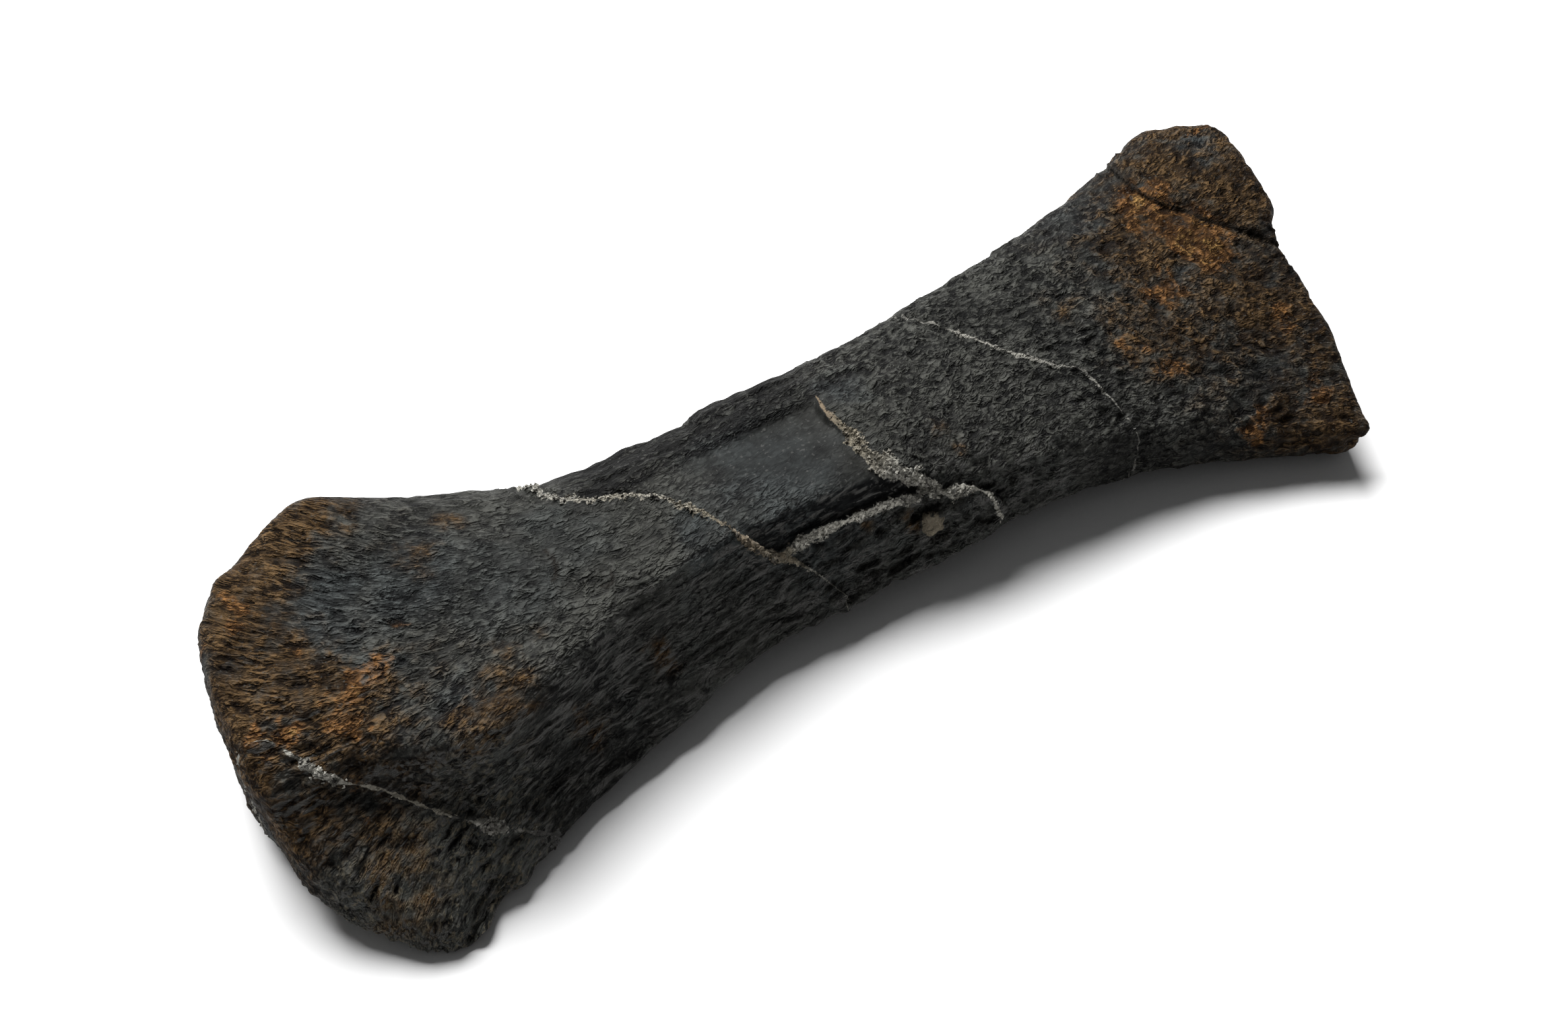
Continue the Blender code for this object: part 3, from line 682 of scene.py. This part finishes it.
def character(points, normals):
    """How smooth, dark (partly painted shade) and spongy each point is, and its contrast, front flank and
    lobe.
    """
    x, z = points[:, 0], points[:, 2]
    plate, near_end, far_half, front, lobe = regions(points, normals)
    wall = front * ease(z, *WALL_Z) * stretch(x, WALL_X, WALL_END_X)
    far_flank = front * ease(x, *FAR_FLANK_X)
    near_flank = ease(x, *NEAR_FLANK_X)
    middle_flank = (front - far_flank) * (1 - wall) * (1 - near_flank)
    # A part with a share above 0 is darker than the rest of the bone, and below 0 it is paler. The
    # shares of the wall and of the front flanks that face away from the light are painted shade, and
    # the paler middle of the front flank is painted light. The plate, the back strip and the far half
    # are darker bone, and the lobe is paler.
    darkness_and_painted_shade = 0.08 * plate + 0.06 * far_half * (1 - front) + 0.1 * wall
    darkness_and_painted_shade += 0.2 * back_strip(points, normals, DARK_STRIP_Y)
    darkness_and_painted_shade += 0.1 * far_flank - 0.05 * middle_flank - 0.12 * lobe
    darkness_and_painted_shade += 0.05 * near_flank * ease(normals[:, 1], *NEAR_FLANK_FACES) * (1 - lobe)
    darkness_and_painted_shade += 0.01 * ease(x, *DARKER_FAR_X)
    shaft_top = stretch(x, SHAFT_X, SHAFT_END_X) * (1 - front)
    contrast = 1 - np.maximum.reduce([0.8 * plate, 0.3 * front * (1 - lobe), 0.35 * shaft_top])
    contrast *= 1 + 0.25 * near_end
    spongy = np.maximum(near_end, ease(x, *SPONGY_FAR_X))
    return (np.stack([plate, darkness_and_painted_shade, spongy], 1),
            np.stack([contrast, front * (1 - far_flank), lobe], 1))


# %% The strips of filling
MENDED = ("near", "middle", "far", "lobe", "near under", "far under", "lobe under")
CRACKED = ("corner", "hook", "nick")
PEBBLE_EDGE, PEBBLE_FLATTENED = -0.5, 0.3


def strip_of(name):
    """How far left of a break, half width and warmth of its filling, at each point."""
    return seam(points, lines[name])[:, :3]


def depth(strip):
    """How deep inside the filling of a break each point lies; below zero it is outside."""
    return strip[:, 1] - np.abs(strip[:, 0])


def deepest(strips):
    """Of several strips, the one that each point is deepest inside."""
    found = strips[0].copy()
    for strip in strips[1:]:
        deeper = depth(strip) > depth(found)
        found[deeper] = strip[deeper]
    return found


filling = deepest([strip_of(name) for name in MENDED])
ledge_filling, rim_filling = strip_of("ledge"), strip_of("knob rim")
pebble = strip_of("pebble")
in_pebble = depth(pebble) > PEBBLE_EDGE
pebble[:, :2] *= PEBBLE_FLATTENED
print("points inside a filling:", (depth(filling) > 0).sum())


# %% Store the numbers on the points
def store(mesh, name, rows):
    """A vector for each point of the mesh, which a material reads by name."""
    attribute = mesh.attributes.new(name, "FLOAT_VECTOR", "POINT")
    attribute.data.foreach_set("vector", np.asarray(rows, np.float32).ravel())


bone_character, bone_look = character(points, normals)
store(skin_mesh, "grain", grain(points))
store(skin_mesh, "stains", stains)
store(skin_mesh, "character", bone_character)
store(skin_mesh, "look", bone_look)
store(skin_mesh, "filling", np.where(in_pebble[:, None], pebble, filling))
store(skin_mesh, "ledge_filling", deepest([ledge_filling, rim_filling]))
store(skin_mesh, "cracks", deepest([strip_of(name) for name in CRACKED]))
print("stored", [a.name for a in skin_mesh.attributes if a.data_type == "FLOAT_VECTOR"])

# %% [markdown]
# ## The material
#
# Mineralised bone is a dull, almost black stone with a slight waxy shine. Up close it is a weave
# of fine pale and dark flecks that run with the fibres, lively in some patches and calm in others.
# The material is one Principled shader. Its colour is flecked along the grain, with painted shade
# in the hollows of the relief and on the flanks that face away from the light, then stained brown
# and orange, and last gets plaster, grit or rust where a break is filled. Fine bumps come from the
# same noises, so each fleck has a relief of its own.


# %% Small helpers for node trees
def tree_of(*values):
    """The node tree of the first socket among some values."""
    return next(value.id_data for value in values if isinstance(value, bpy.types.NodeSocket))


def calc(operation, *values, clamp=False):
    """One Math node; its values are numbers or sockets."""
    return add(tree_of(*values), "ShaderNodeMath", dict(enumerate(values)), operation=operation,
               use_clamp=clamp).outputs["Value"]


def mixed(*shares):
    """The sum of several sockets, each times its share."""
    (first, share), *others = shares
    total = calc("MULTIPLY", first, share)
    for socket, share in others:
        total = calc("MULTIPLY_ADD", socket, share, total)
    return total


def step(value, low, high, start=0.0, end=1.0):
    """A smooth step of a value from start to end."""
    return add(tree_of(value), "ShaderNodeMapRange",
               {"Value": value, "From Min": low, "From Max": high, "To Min": start, "To Max": end},
               interpolation_type="SMOOTHSTEP").outputs["Result"]


def vector_calc(operation, vector, other, socket=1):
    """One Vector Math node of a vector and another value."""
    return add(tree_of(vector), "ShaderNodeVectorMath", {0: vector, socket: other},
               operation=operation).outputs[0]


def grit(vector, scale, detail=2.0, roughness=0.5, distortion=0.0):
    """Noise from 0 to 1; a larger scale makes it finer."""
    return add(tree_of(vector), "ShaderNodeTexNoise",
               {"Vector": vector, "Scale": scale, "Detail": detail, "Roughness": roughness,
                "Distortion": distortion}).outputs["Fac"]


def blend_colour(factor, under, over):
    """Mixes one colour over another by a factor."""
    return add(tree_of(factor), "ShaderNodeMix", {"Factor": factor, "A": under, "B": over},
               data_type="RGBA").outputs["Result"]


# %% Helpers that read what the points carry
PER_MM = (1 / MM, 1 / MM, 1 / MM)


def in_millimetres(tree):
    """Where a point lies on the object, in millimetres."""
    return vector_calc("MULTIPLY", add(tree, "ShaderNodeTexCoord").outputs["Object"], PER_MM)


def number_of(tree, name):
    """The number of an attribute."""
    return add(tree, "ShaderNodeAttribute", attribute_name=name).outputs["Fac"]


def parts_of(tree, name):
    """The three numbers of an attribute."""
    vector = add(tree, "ShaderNodeAttribute", attribute_name=name).outputs["Vector"]
    return add(tree, "ShaderNodeSeparateXYZ", {0: vector}).outputs


# %% Palette
# Each finish of the bone is a dark colour for its dark flecks and the painted shade in its hollows, and a
# pale one for its pale flecks.
CHARCOAL, ASH = (0.0034, 0.0034, 0.0033, 1), (0.0550, 0.0556, 0.0490, 1)
INK, SLATE = (0.0030, 0.0034, 0.0038, 1), (0.0440, 0.0505, 0.0510, 1)
PEAT, UMBER = (0.0080, 0.0048, 0.0028, 1), (0.1080, 0.0630, 0.0260, 1)
BARK, RUST = (0.0205, 0.0095, 0.0036, 1), (0.2150, 0.1040, 0.0370, 1)
OCHRE = (0.2750, 0.1650, 0.0570, 1)
STRAW = (0.108, 0.093, 0.065, 1)
EARTH = (0.008, 0.0065, 0.005, 1)

# The filling of the breaks is grey grit at a warmth of 0, white plaster at 0.3, cream glue at 0.5
# and rusty bone edge at 1.
STONE_GREY = (0.074, 0.073, 0.069, 1)
PLASTER = (0.300, 0.290, 0.255, 1)
CREAM = (0.190, 0.170, 0.130, 1)
TAN = (0.125, 0.084, 0.050, 1)


def filling_colour(warmth):
    """Mixes the colours of the filling by its warmth."""
    pale = blend_colour(step(warmth, 0.0, 0.3), STONE_GREY, PLASTER)
    pale = blend_colour(step(warmth, 0.3, 0.5), pale, CREAM)
    return blend_colour(step(warmth, 0.5, 0.95), pale, TAN)


# %% Start the fossil material
bone_finish = bpy.data.materials.new("fossil bone")
bone_finish.use_nodes = True
tree = bone_finish.node_tree

spot = in_millimetres(tree)
standing = number_of(tree, "standing")
smooth_plate, darkness_and_painted_shade, spongy_end = parts_of(tree, "character")
contrast, on_flank, on_lobe = parts_of(tree, "look")
orange_stain, brown_stain, blue_stain_and_sheen = parts_of(tree, "stains")
print("the material starts with", len(tree.nodes), "nodes")

# %% Noise along the fibres
fibre_along, fibre_number, fineness = parts_of(tree, "grain")
above_floor = add(tree, "ShaderNodeSeparateXYZ", {0: spot}).outputs["Z"]
level = calc("FLOOR", fineness)
between_levels = step(calc("SUBTRACT", fineness, level), 0.0, 1.0)
coarse_number = calc("MULTIPLY", fibre_number, calc("POWER", 2.0, level))
fine_number = calc("MULTIPLY", coarse_number, 2.0)
fibre_levels = [add(tree, "ShaderNodeCombineXYZ", {0: fibre_along, 1: split, 2: above_floor}).outputs[0]
                for split in (coarse_number, fine_number)]


def fibrous(scale, *look):
    """Noise stretched along the fibres and equally thin everywhere."""
    coarse, fine = (grit(vector_calc("MULTIPLY", vector, scale), 1.0, *look) for vector in fibre_levels)
    return add(tree, "ShaderNodeMix", {0: between_levels, 2: coarse, 3: fine}).outputs[0]


weave = fibrous((0.7, 1.3, 1.3), 3.0, 0.6, 0.6)
wander = fibrous((0.5, 0.95, 0.95), 2.0, 0.5, 0.6)
ridge = step(calc("ABSOLUTE", calc("SUBTRACT", wander, 0.5)), 0.0, 0.16)
streaks = fibrous((0.16, 1.2, 1.2), 2.0, 0.5, 0.3)

# %% Noise without a direction
# From fine to coarse; the scale is in lumps per millimetre.
speckle = grit(spot, 3.2, 1.0, 0.5)
hues = grit(spot, 1.0, 2.0, 0.6, 0.5)
lumps = grit(spot, 0.7, 1.0, 0.5)
patches = grit(spot, 0.33, 2.0, 0.5)
clouds = grit(spot, 0.13, 3.0, 0.6)

# %% Pale and dark flecks, with painted shade in the hollows
# The tone is stretched about its middle where the bone is lively, and drawn together where it is
# calm. The plate, the flank and the top of the shaft are calmer than the ends.
MIDDLE_TONE, DARKEST, PALEST = 0.75, 0.72, 1.28
PATCH_EDGE, CALM_PATCH, LIVELY_PATCH = (0.40, 0.60), 0.55, 1.3

liveliness = step(mixed((clouds, 0.5), (patches, 0.5)), *PATCH_EDGE, CALM_PATCH, LIVELY_PATCH)
# Low places of the fine relief and the grooves between the wandering ridges are darker and the crests
# paler: painted shade in the hollows.
tone = mixed((ridge, 0.28), (weave, 0.9), (speckle, 0.2), (lumps, 0.12), (standing, 0.4))
tone = calc("MULTIPLY_ADD", calc("SUBTRACT", tone, MIDDLE_TONE),
            calc("MULTIPLY", contrast, liveliness), MIDDLE_TONE)
tone = calc("MULTIPLY_ADD", clouds, 0.5, tone)
tone = calc("MULTIPLY_ADD", calc("SUBTRACT", streaks, 0.5), calc("MULTIPLY", on_flank, 0.5), tone)
# Painted shade on the wall and front flanks, and the darker or paler parts of the bone, come off the tone
# here.
tone = calc("SUBTRACT", tone, darkness_and_painted_shade)
flecks_and_painted_shade = step(tone, DARKEST, PALEST)


def finish(dark, pale):
    """A colour between the dark and the pale one of a finish, by the flecks and the painted shade."""
    return blend_colour(flecks_and_painted_shade, dark, pale)


# %% Grey bone, and blue-grey that is partly a painted sheen
MOST_BLUE, BLUE_FLECKS = 0.85, 0.6

# The blue-grey on the tops is partly a painted sheen. On the front flank it is a blue-grey tint.
blue_and_sheen_amount = mixed((blue_stain_and_sheen, 1.0), (on_flank, 0.35), (clouds, 0.8))
blue_and_sheen_amount = step(blue_and_sheen_amount, 0.5, 1.3, 0.0, MOST_BLUE)
blue_fleck = calc("MULTIPLY", step(hues, 0.56, 0.66), calc("MULTIPLY", spongy_end, BLUE_FLECKS))
blue_and_sheen_amount = calc("MAXIMUM", blue_and_sheen_amount, blue_fleck)
body = blend_colour(blue_and_sheen_amount, finish(CHARCOAL, ASH), finish(INK, SLATE))

# %% Brown, orange and ochre stains
MOST_STAINED = 0.9

ragged = calc("SUBTRACT", mixed((patches, 2.2), (hues, 0.9), (weave, 0.5)), 1.8)


def stained(stain, low, high):
    """How much a stain colours the bone, with ragged edges, and not at all where there is none."""
    torn = calc("MULTIPLY", ragged, calc("MULTIPLY", stain, 2.5, clamp=True))
    return step(calc("ADD", stain, torn), low, high, 0.0, MOST_STAINED)


browned = mixed((brown_stain, 1.0), (spongy_end, 0.4), (blue_stain_and_sheen, -0.4), (on_lobe, -0.4))
brown_amount = stained(browned, 0.0, 1.1)
orange_amount = stained(orange_stain, 0.35, 1.0)
ochre_amount = stained(orange_stain, 1.0, 1.5)
body = blend_colour(brown_amount, body, finish(PEAT, UMBER))
body = blend_colour(orange_amount, body, finish(BARK, RUST))
body = blend_colour(ochre_amount, body, finish(BARK, OCHRE))

# %% Pale specks that are partly painted glints, painted glints as pale streaks on the flank, and straw-coloured strokes on the lobe
MOST_SPECK_AND_GLINT, MOST_PAINTED_GLINT, MOST_STROKED = 0.4, 0.95, 0.75

pepper = grit(spot, 1.7, 1.0, 0.5)
# Sparse pale specks all over are partly pale grains and partly painted glints.
speck_and_painted_glint = step(mixed((pepper, 1.0), (weave, 0.5)), 0.9, 1.0, 0.0, MOST_SPECK_AND_GLINT)
# Pale streaks on the front flank are painted glints.
painted_glint = step(mixed((streaks, 1.0), (patches, 0.5)), 0.76, 0.9)
painted_glint = calc("MULTIPLY", painted_glint, calc("MULTIPLY", on_flank, MOST_PAINTED_GLINT))
stroke = step(mixed((weave, 1.0), (hues, 0.6)), 0.82, 0.96)
stroke = calc("MULTIPLY", stroke, calc("MULTIPLY", on_lobe, MOST_STROKED))
body = blend_colour(calc("MAXIMUM", speck_and_painted_glint, painted_glint), body, STONE_GREY)
body = blend_colour(stroke, body, STRAW)

# %% Filled breaks and open cracks
# Where the filling is wide, it has dark gaps between its grains. Its edge wobbles by noise.
FILL_WOBBLE, LEAST_WOBBLE, FILL_EDGE = 1.3, 0.2, (-0.05, 0.12)
FILL_GRAINS_PER_MM, FILL_GRAIN_EDGE = 3.0, (0.40, 0.60)
GAPS_FROM, GAPS_TO, FEWEST_GAPS, MOST_GAPS = 0.4, 1.1, 0.15, 0.65
CRACK_EDGE, CRACK_DARKNESS = (-0.6, 0.1), 0.85

fill_noise = grit(spot, 1.6, 2.0, 0.6)
fill_wobble = calc("MULTIPLY", calc("SUBTRACT", fill_noise, 0.5), FILL_WOBBLE)
fill_grain = step(grit(spot, FILL_GRAINS_PER_MM, 2.0, 0.6), *FILL_GRAIN_EDGE)
fill_amounts = []
for name in ("filling", "ledge_filling"):
    across, half_width, warmth = parts_of(tree, name)
    wobbled = calc("MULTIPLY_ADD", fill_wobble, calc("ADD", half_width, LEAST_WOBBLE),
                   calc("ABSOLUTE", across))
    amount = step(calc("SUBTRACT", half_width, wobbled), *FILL_EDGE)
    gaps = step(half_width, GAPS_FROM, GAPS_TO, FEWEST_GAPS, MOST_GAPS)
    gaps = calc("MULTIPLY", fill_grain, gaps)
    body = blend_colour(amount, body, blend_colour(gaps, filling_colour(warmth), EARTH))
    fill_amounts.append(amount)
fill_amount = calc("MAXIMUM", *fill_amounts)

crack_across, crack_width, _ = parts_of(tree, "cracks")
crack_amount = calc("ADD", calc("ABSOLUTE", crack_across), fill_wobble)
crack_amount = calc("SUBTRACT", crack_width, crack_amount)
crack_amount = step(crack_amount, *CRACK_EDGE, 0.0, CRACK_DARKNESS)
body = blend_colour(crack_amount, body, EARTH)

# %% Shine and bumps
DARK_ROUGHNESS, PALE_ROUGHNESS, FILLING_ROUGHNESS = 0.72, 0.56, 0.9
WAXY, DUSTY = 0.07, 0.03
BUMP_HEIGHT, PLATE_CALM = 0.85 * MM, 0.85

shine = step(flecks_and_painted_shade, 0.0, 1.0, DARK_ROUGHNESS, PALE_ROUGHNESS)
shine = calc("MAXIMUM", shine, calc("MULTIPLY", fill_amount, FILLING_ROUGHNESS))
dusty = calc("MAXIMUM", calc("MAXIMUM", brown_amount, orange_amount), fill_amount)
gloss = step(dusty, 0.0, 1.0, WAXY, DUSTY)

fibre_height = mixed((ridge, 0.3), (weave, 0.7), (speckle, 0.2))
bumpy = calc("SUBTRACT", 1.0, calc("MULTIPLY", smooth_plate, PLATE_CALM))
fibre_height = calc("MULTIPLY", calc("MULTIPLY", bumpy, fibre_height), liveliness)
fibre_bump = add(tree, "ShaderNodeBump", {"Strength": 1.0, "Distance": BUMP_HEIGHT, "Height": fibre_height})

bone_shader = tree.nodes["Principled BSDF"]
tree.links.new(body, bone_shader.inputs["Base Color"])
tree.links.new(shine, bone_shader.inputs["Roughness"])
tree.links.new(gloss, bone_shader.inputs["Specular IOR Level"])
tree.links.new(fibre_bump.outputs["Normal"], bone_shader.inputs["Normal"])
skin_mesh.materials.clear()
skin_mesh.materials.append(bone_finish)
print("the material has", len(tree.nodes), "nodes")

# %% [markdown]
# ## Grit in the breaks
#
# The filling is crushed rock and plaster in glue, and its grains are large enough to catch the
# light one by one. They are real little stones. A Geometry Nodes tree scatters points over the
# strips of skin that carry filling, puts a small rough ball on each, turned and stretched at
# random, and makes the result one plain mesh. Each grain remembers its own tone and how warm the
# filling is there.

# %% The seats: the filled strips of skin
ON_STRIP = -0.3
THIN_STRIP, WIDE_STRIP, FINEST = 0.1, 0.9, 0.3
SEAT_EDGE, NO_GRIT_BELOW_Z = (-0.15, 0.25), (0.5, 1.0)
FEWEST_GRAINS = 0.05

on_rim, on_ledge = (depth(strip)[:, None] > ON_STRIP for strip in (rim_filling, ledge_filling))
_, width, warmth_there = np.where(on_rim, rim_filling, np.where(on_ledge, ledge_filling, filling)).T
inside = np.maximum.reduce([depth(strip) for strip in (filling, ledge_filling, rim_filling)])
density = ease(inside, *SEAT_EDGE) * ease(points[:, 2], *NO_GRIT_BELOW_Z)
coarseness = FINEST + (1 - FINEST) * ease(width, THIN_STRIP, WIDE_STRIP)
faces = rows_of(skin_mesh.polygons, "vertices", int)
faces = faces[density[faces].max(1) > FEWEST_GRAINS]
used, renamed = np.unique(faces, return_inverse=True)
seats = bpy.data.meshes.new("break_grit")
seats.from_pydata((points[used] * MM).tolist(), [], renamed.reshape(-1, 3).tolist())
for name, values in (("density", density), ("warmth", warmth_there), ("coarseness", coarseness)):
    seats.attributes.new(name, "FLOAT", "POINT").data.foreach_set("value", values[used])
grains = bpy.data.objects.new("break_grit", seats)
bpy.context.scene.collection.objects.link(grains)
print("the filled strips have", len(faces), "triangles")

# %% The grains' finish
GRAIN_ROUGHNESS, GRAIN_GLOSS = 0.7, 0.4
DARKEST_GRAIN, PALEST_GRAIN = 0.3, 0.9

grit_finish = bpy.data.materials.new("break grit")
grit_finish.use_nodes = True
grit_tree = grit_finish.node_tree
dust = grit(in_millimetres(grit_tree), 4.0)
brightness = calc("MULTIPLY_ADD", dust, 0.5, number_of(grit_tree, "tone"))
brightness = calc("MULTIPLY_ADD", number_of(grit_tree, "coarseness"), -0.35,
                  calc("ADD", brightness, 0.5))
clean = step(brightness, DARKEST_GRAIN, PALEST_GRAIN)
grain_colour = blend_colour(clean, EARTH, filling_colour(number_of(grit_tree, "warmth")))
grit_shader = grit_tree.nodes["Principled BSDF"]
grit_tree.links.new(grain_colour, grit_shader.inputs["Base Color"])
grit_shader.inputs["Roughness"].default_value = GRAIN_ROUGHNESS
grit_shader.inputs["Specular IOR Level"].default_value = GRAIN_GLOSS
print("the grains' material has", len(grit_tree.nodes), "nodes")

# %% The tree that scatters them
GRIT_INPUTS = {"Grains per square mm": 2.8, "Smallest": 0.26, "Largest": 0.95, "Roughness": 0.2}
FLATTEST, LONGEST = (0.7, 0.7, 0.5), (1.25, 1.0, 0.8)
FULL_TURN = 6.28
DENTS_PER_MM, DEEPEST_DENT = 4.0, 4

scatter = bpy.data.node_groups.new("scatter grit", "GeometryNodeTree")
scatter.interface.new_socket("Geometry", in_out="INPUT", socket_type="NodeSocketGeometry")
for title in GRIT_INPUTS:
    scatter.interface.new_socket(title, in_out="INPUT", socket_type="NodeSocketFloat")
scatter.interface.new_socket("Geometry", in_out="OUTPUT", socket_type="NodeSocketGeometry")
given = scatter.nodes.new("NodeGroupInput").outputs


def carried(name):
    """A number that each point of the strips carries."""
    return add(scatter, "GeometryNodeInputNamedAttribute", {"Name": name},
               data_type="FLOAT").outputs["Attribute"]


def chance(low, high, seed):
    """A random number, or three of them, for each grain."""
    kind = "FLOAT_VECTOR" if isinstance(low, tuple) else "FLOAT"
    return add(scatter, "FunctionNodeRandomValue", {"Min": low, "Max": high, "Seed": seed},
               data_type=kind).outputs["Value"]


# %% Seats and sizes
# Small grains are far more common than large ones, so the chance is squared.
per_area = calc("MULTIPLY", given["Grains per square mm"], 1.0 / MM ** 2)
seeded = add(scatter, "GeometryNodeDistributePointsOnFaces",
             {"Mesh": given["Geometry"], "Density": calc("MULTIPLY", per_area, carried("density")),
              "Seed": 4})
mostly_small = calc("POWER", chance(0.0, 1.0, 9), 2.0)
diameter = calc("MULTIPLY_ADD", mostly_small,
                calc("SUBTRACT", given["Largest"], given["Smallest"]), given["Smallest"])
radius = calc("MULTIPLY", calc("MULTIPLY", diameter, 0.5), carried("coarseness"))
print("scattering with", GRIT_INPUTS)

# %% Balls on the seats, made rough and real
ball = add(scatter, "GeometryNodeMeshIcoSphere", {"Radius": MM, "Subdivisions": 2})
placed = add(scatter, "GeometryNodeInstanceOnPoints",
             {"Points": seeded.outputs["Points"], "Instance": ball.outputs["Mesh"],
              "Rotation": chance((0, 0, 0), (FULL_TURN, FULL_TURN, FULL_TURN), 12),
              "Scale": vector_calc("SCALE", chance(FLATTEST, LONGEST, 7), radius, "Scale")})
toned = add(scatter, "GeometryNodeStoreNamedAttribute",
            {"Geometry": placed.outputs["Instances"], "Name": "tone", "Value": chance(0.0, 1.0, 15)},
            data_type="FLOAT", domain="INSTANCE")
real = add(scatter, "GeometryNodeRealizeInstances", {"Geometry": toned.outputs["Geometry"]})
place = add(scatter, "GeometryNodeInputPosition").outputs["Position"]
dent = add(scatter, "ShaderNodeTexNoise",
           {"Vector": place, "Scale": DENTS_PER_MM / MM, "Detail": 0.0}).outputs["Color"]
dent = vector_calc("SUBTRACT", dent, (0.5, 0.5, 0.5))
dent = vector_calc("SCALE", dent, calc("MULTIPLY", given["Roughness"], DEEPEST_DENT * MM), "Scale")
rough = add(scatter, "GeometryNodeSetPosition", {"Geometry": real.outputs["Geometry"], "Offset": dent})
dressed = add(scatter, "GeometryNodeSetMaterial",
              {"Geometry": rough.outputs["Geometry"], "Material": grit_finish})
result = scatter.nodes.new("NodeGroupOutput")
scatter.links.new(dressed.outputs["Geometry"], result.inputs["Geometry"])

# %% Scatter and make it plain mesh
modifier = grains.modifiers.new("scatter grit", "NODES")
modifier.node_group = scatter
for socket in scatter.interface.items_tree:
    if socket.name in GRIT_INPUTS:
        modifier[socket.identifier] = GRIT_INPUTS[socket.name]
grit_mesh = finished(grains)
print("the grit has", len(grit_mesh.polygons), "triangles")

# %% [markdown]
# ## Hand over
#
# Nothing on the bone moves, so both pieces ride on its one body. The skin stands in for the plain
# solid, and the grains are added to it.

# %% Tell the frame what the pieces are
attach(skin, "root")
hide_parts("hand_bone")
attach(grains, "root")
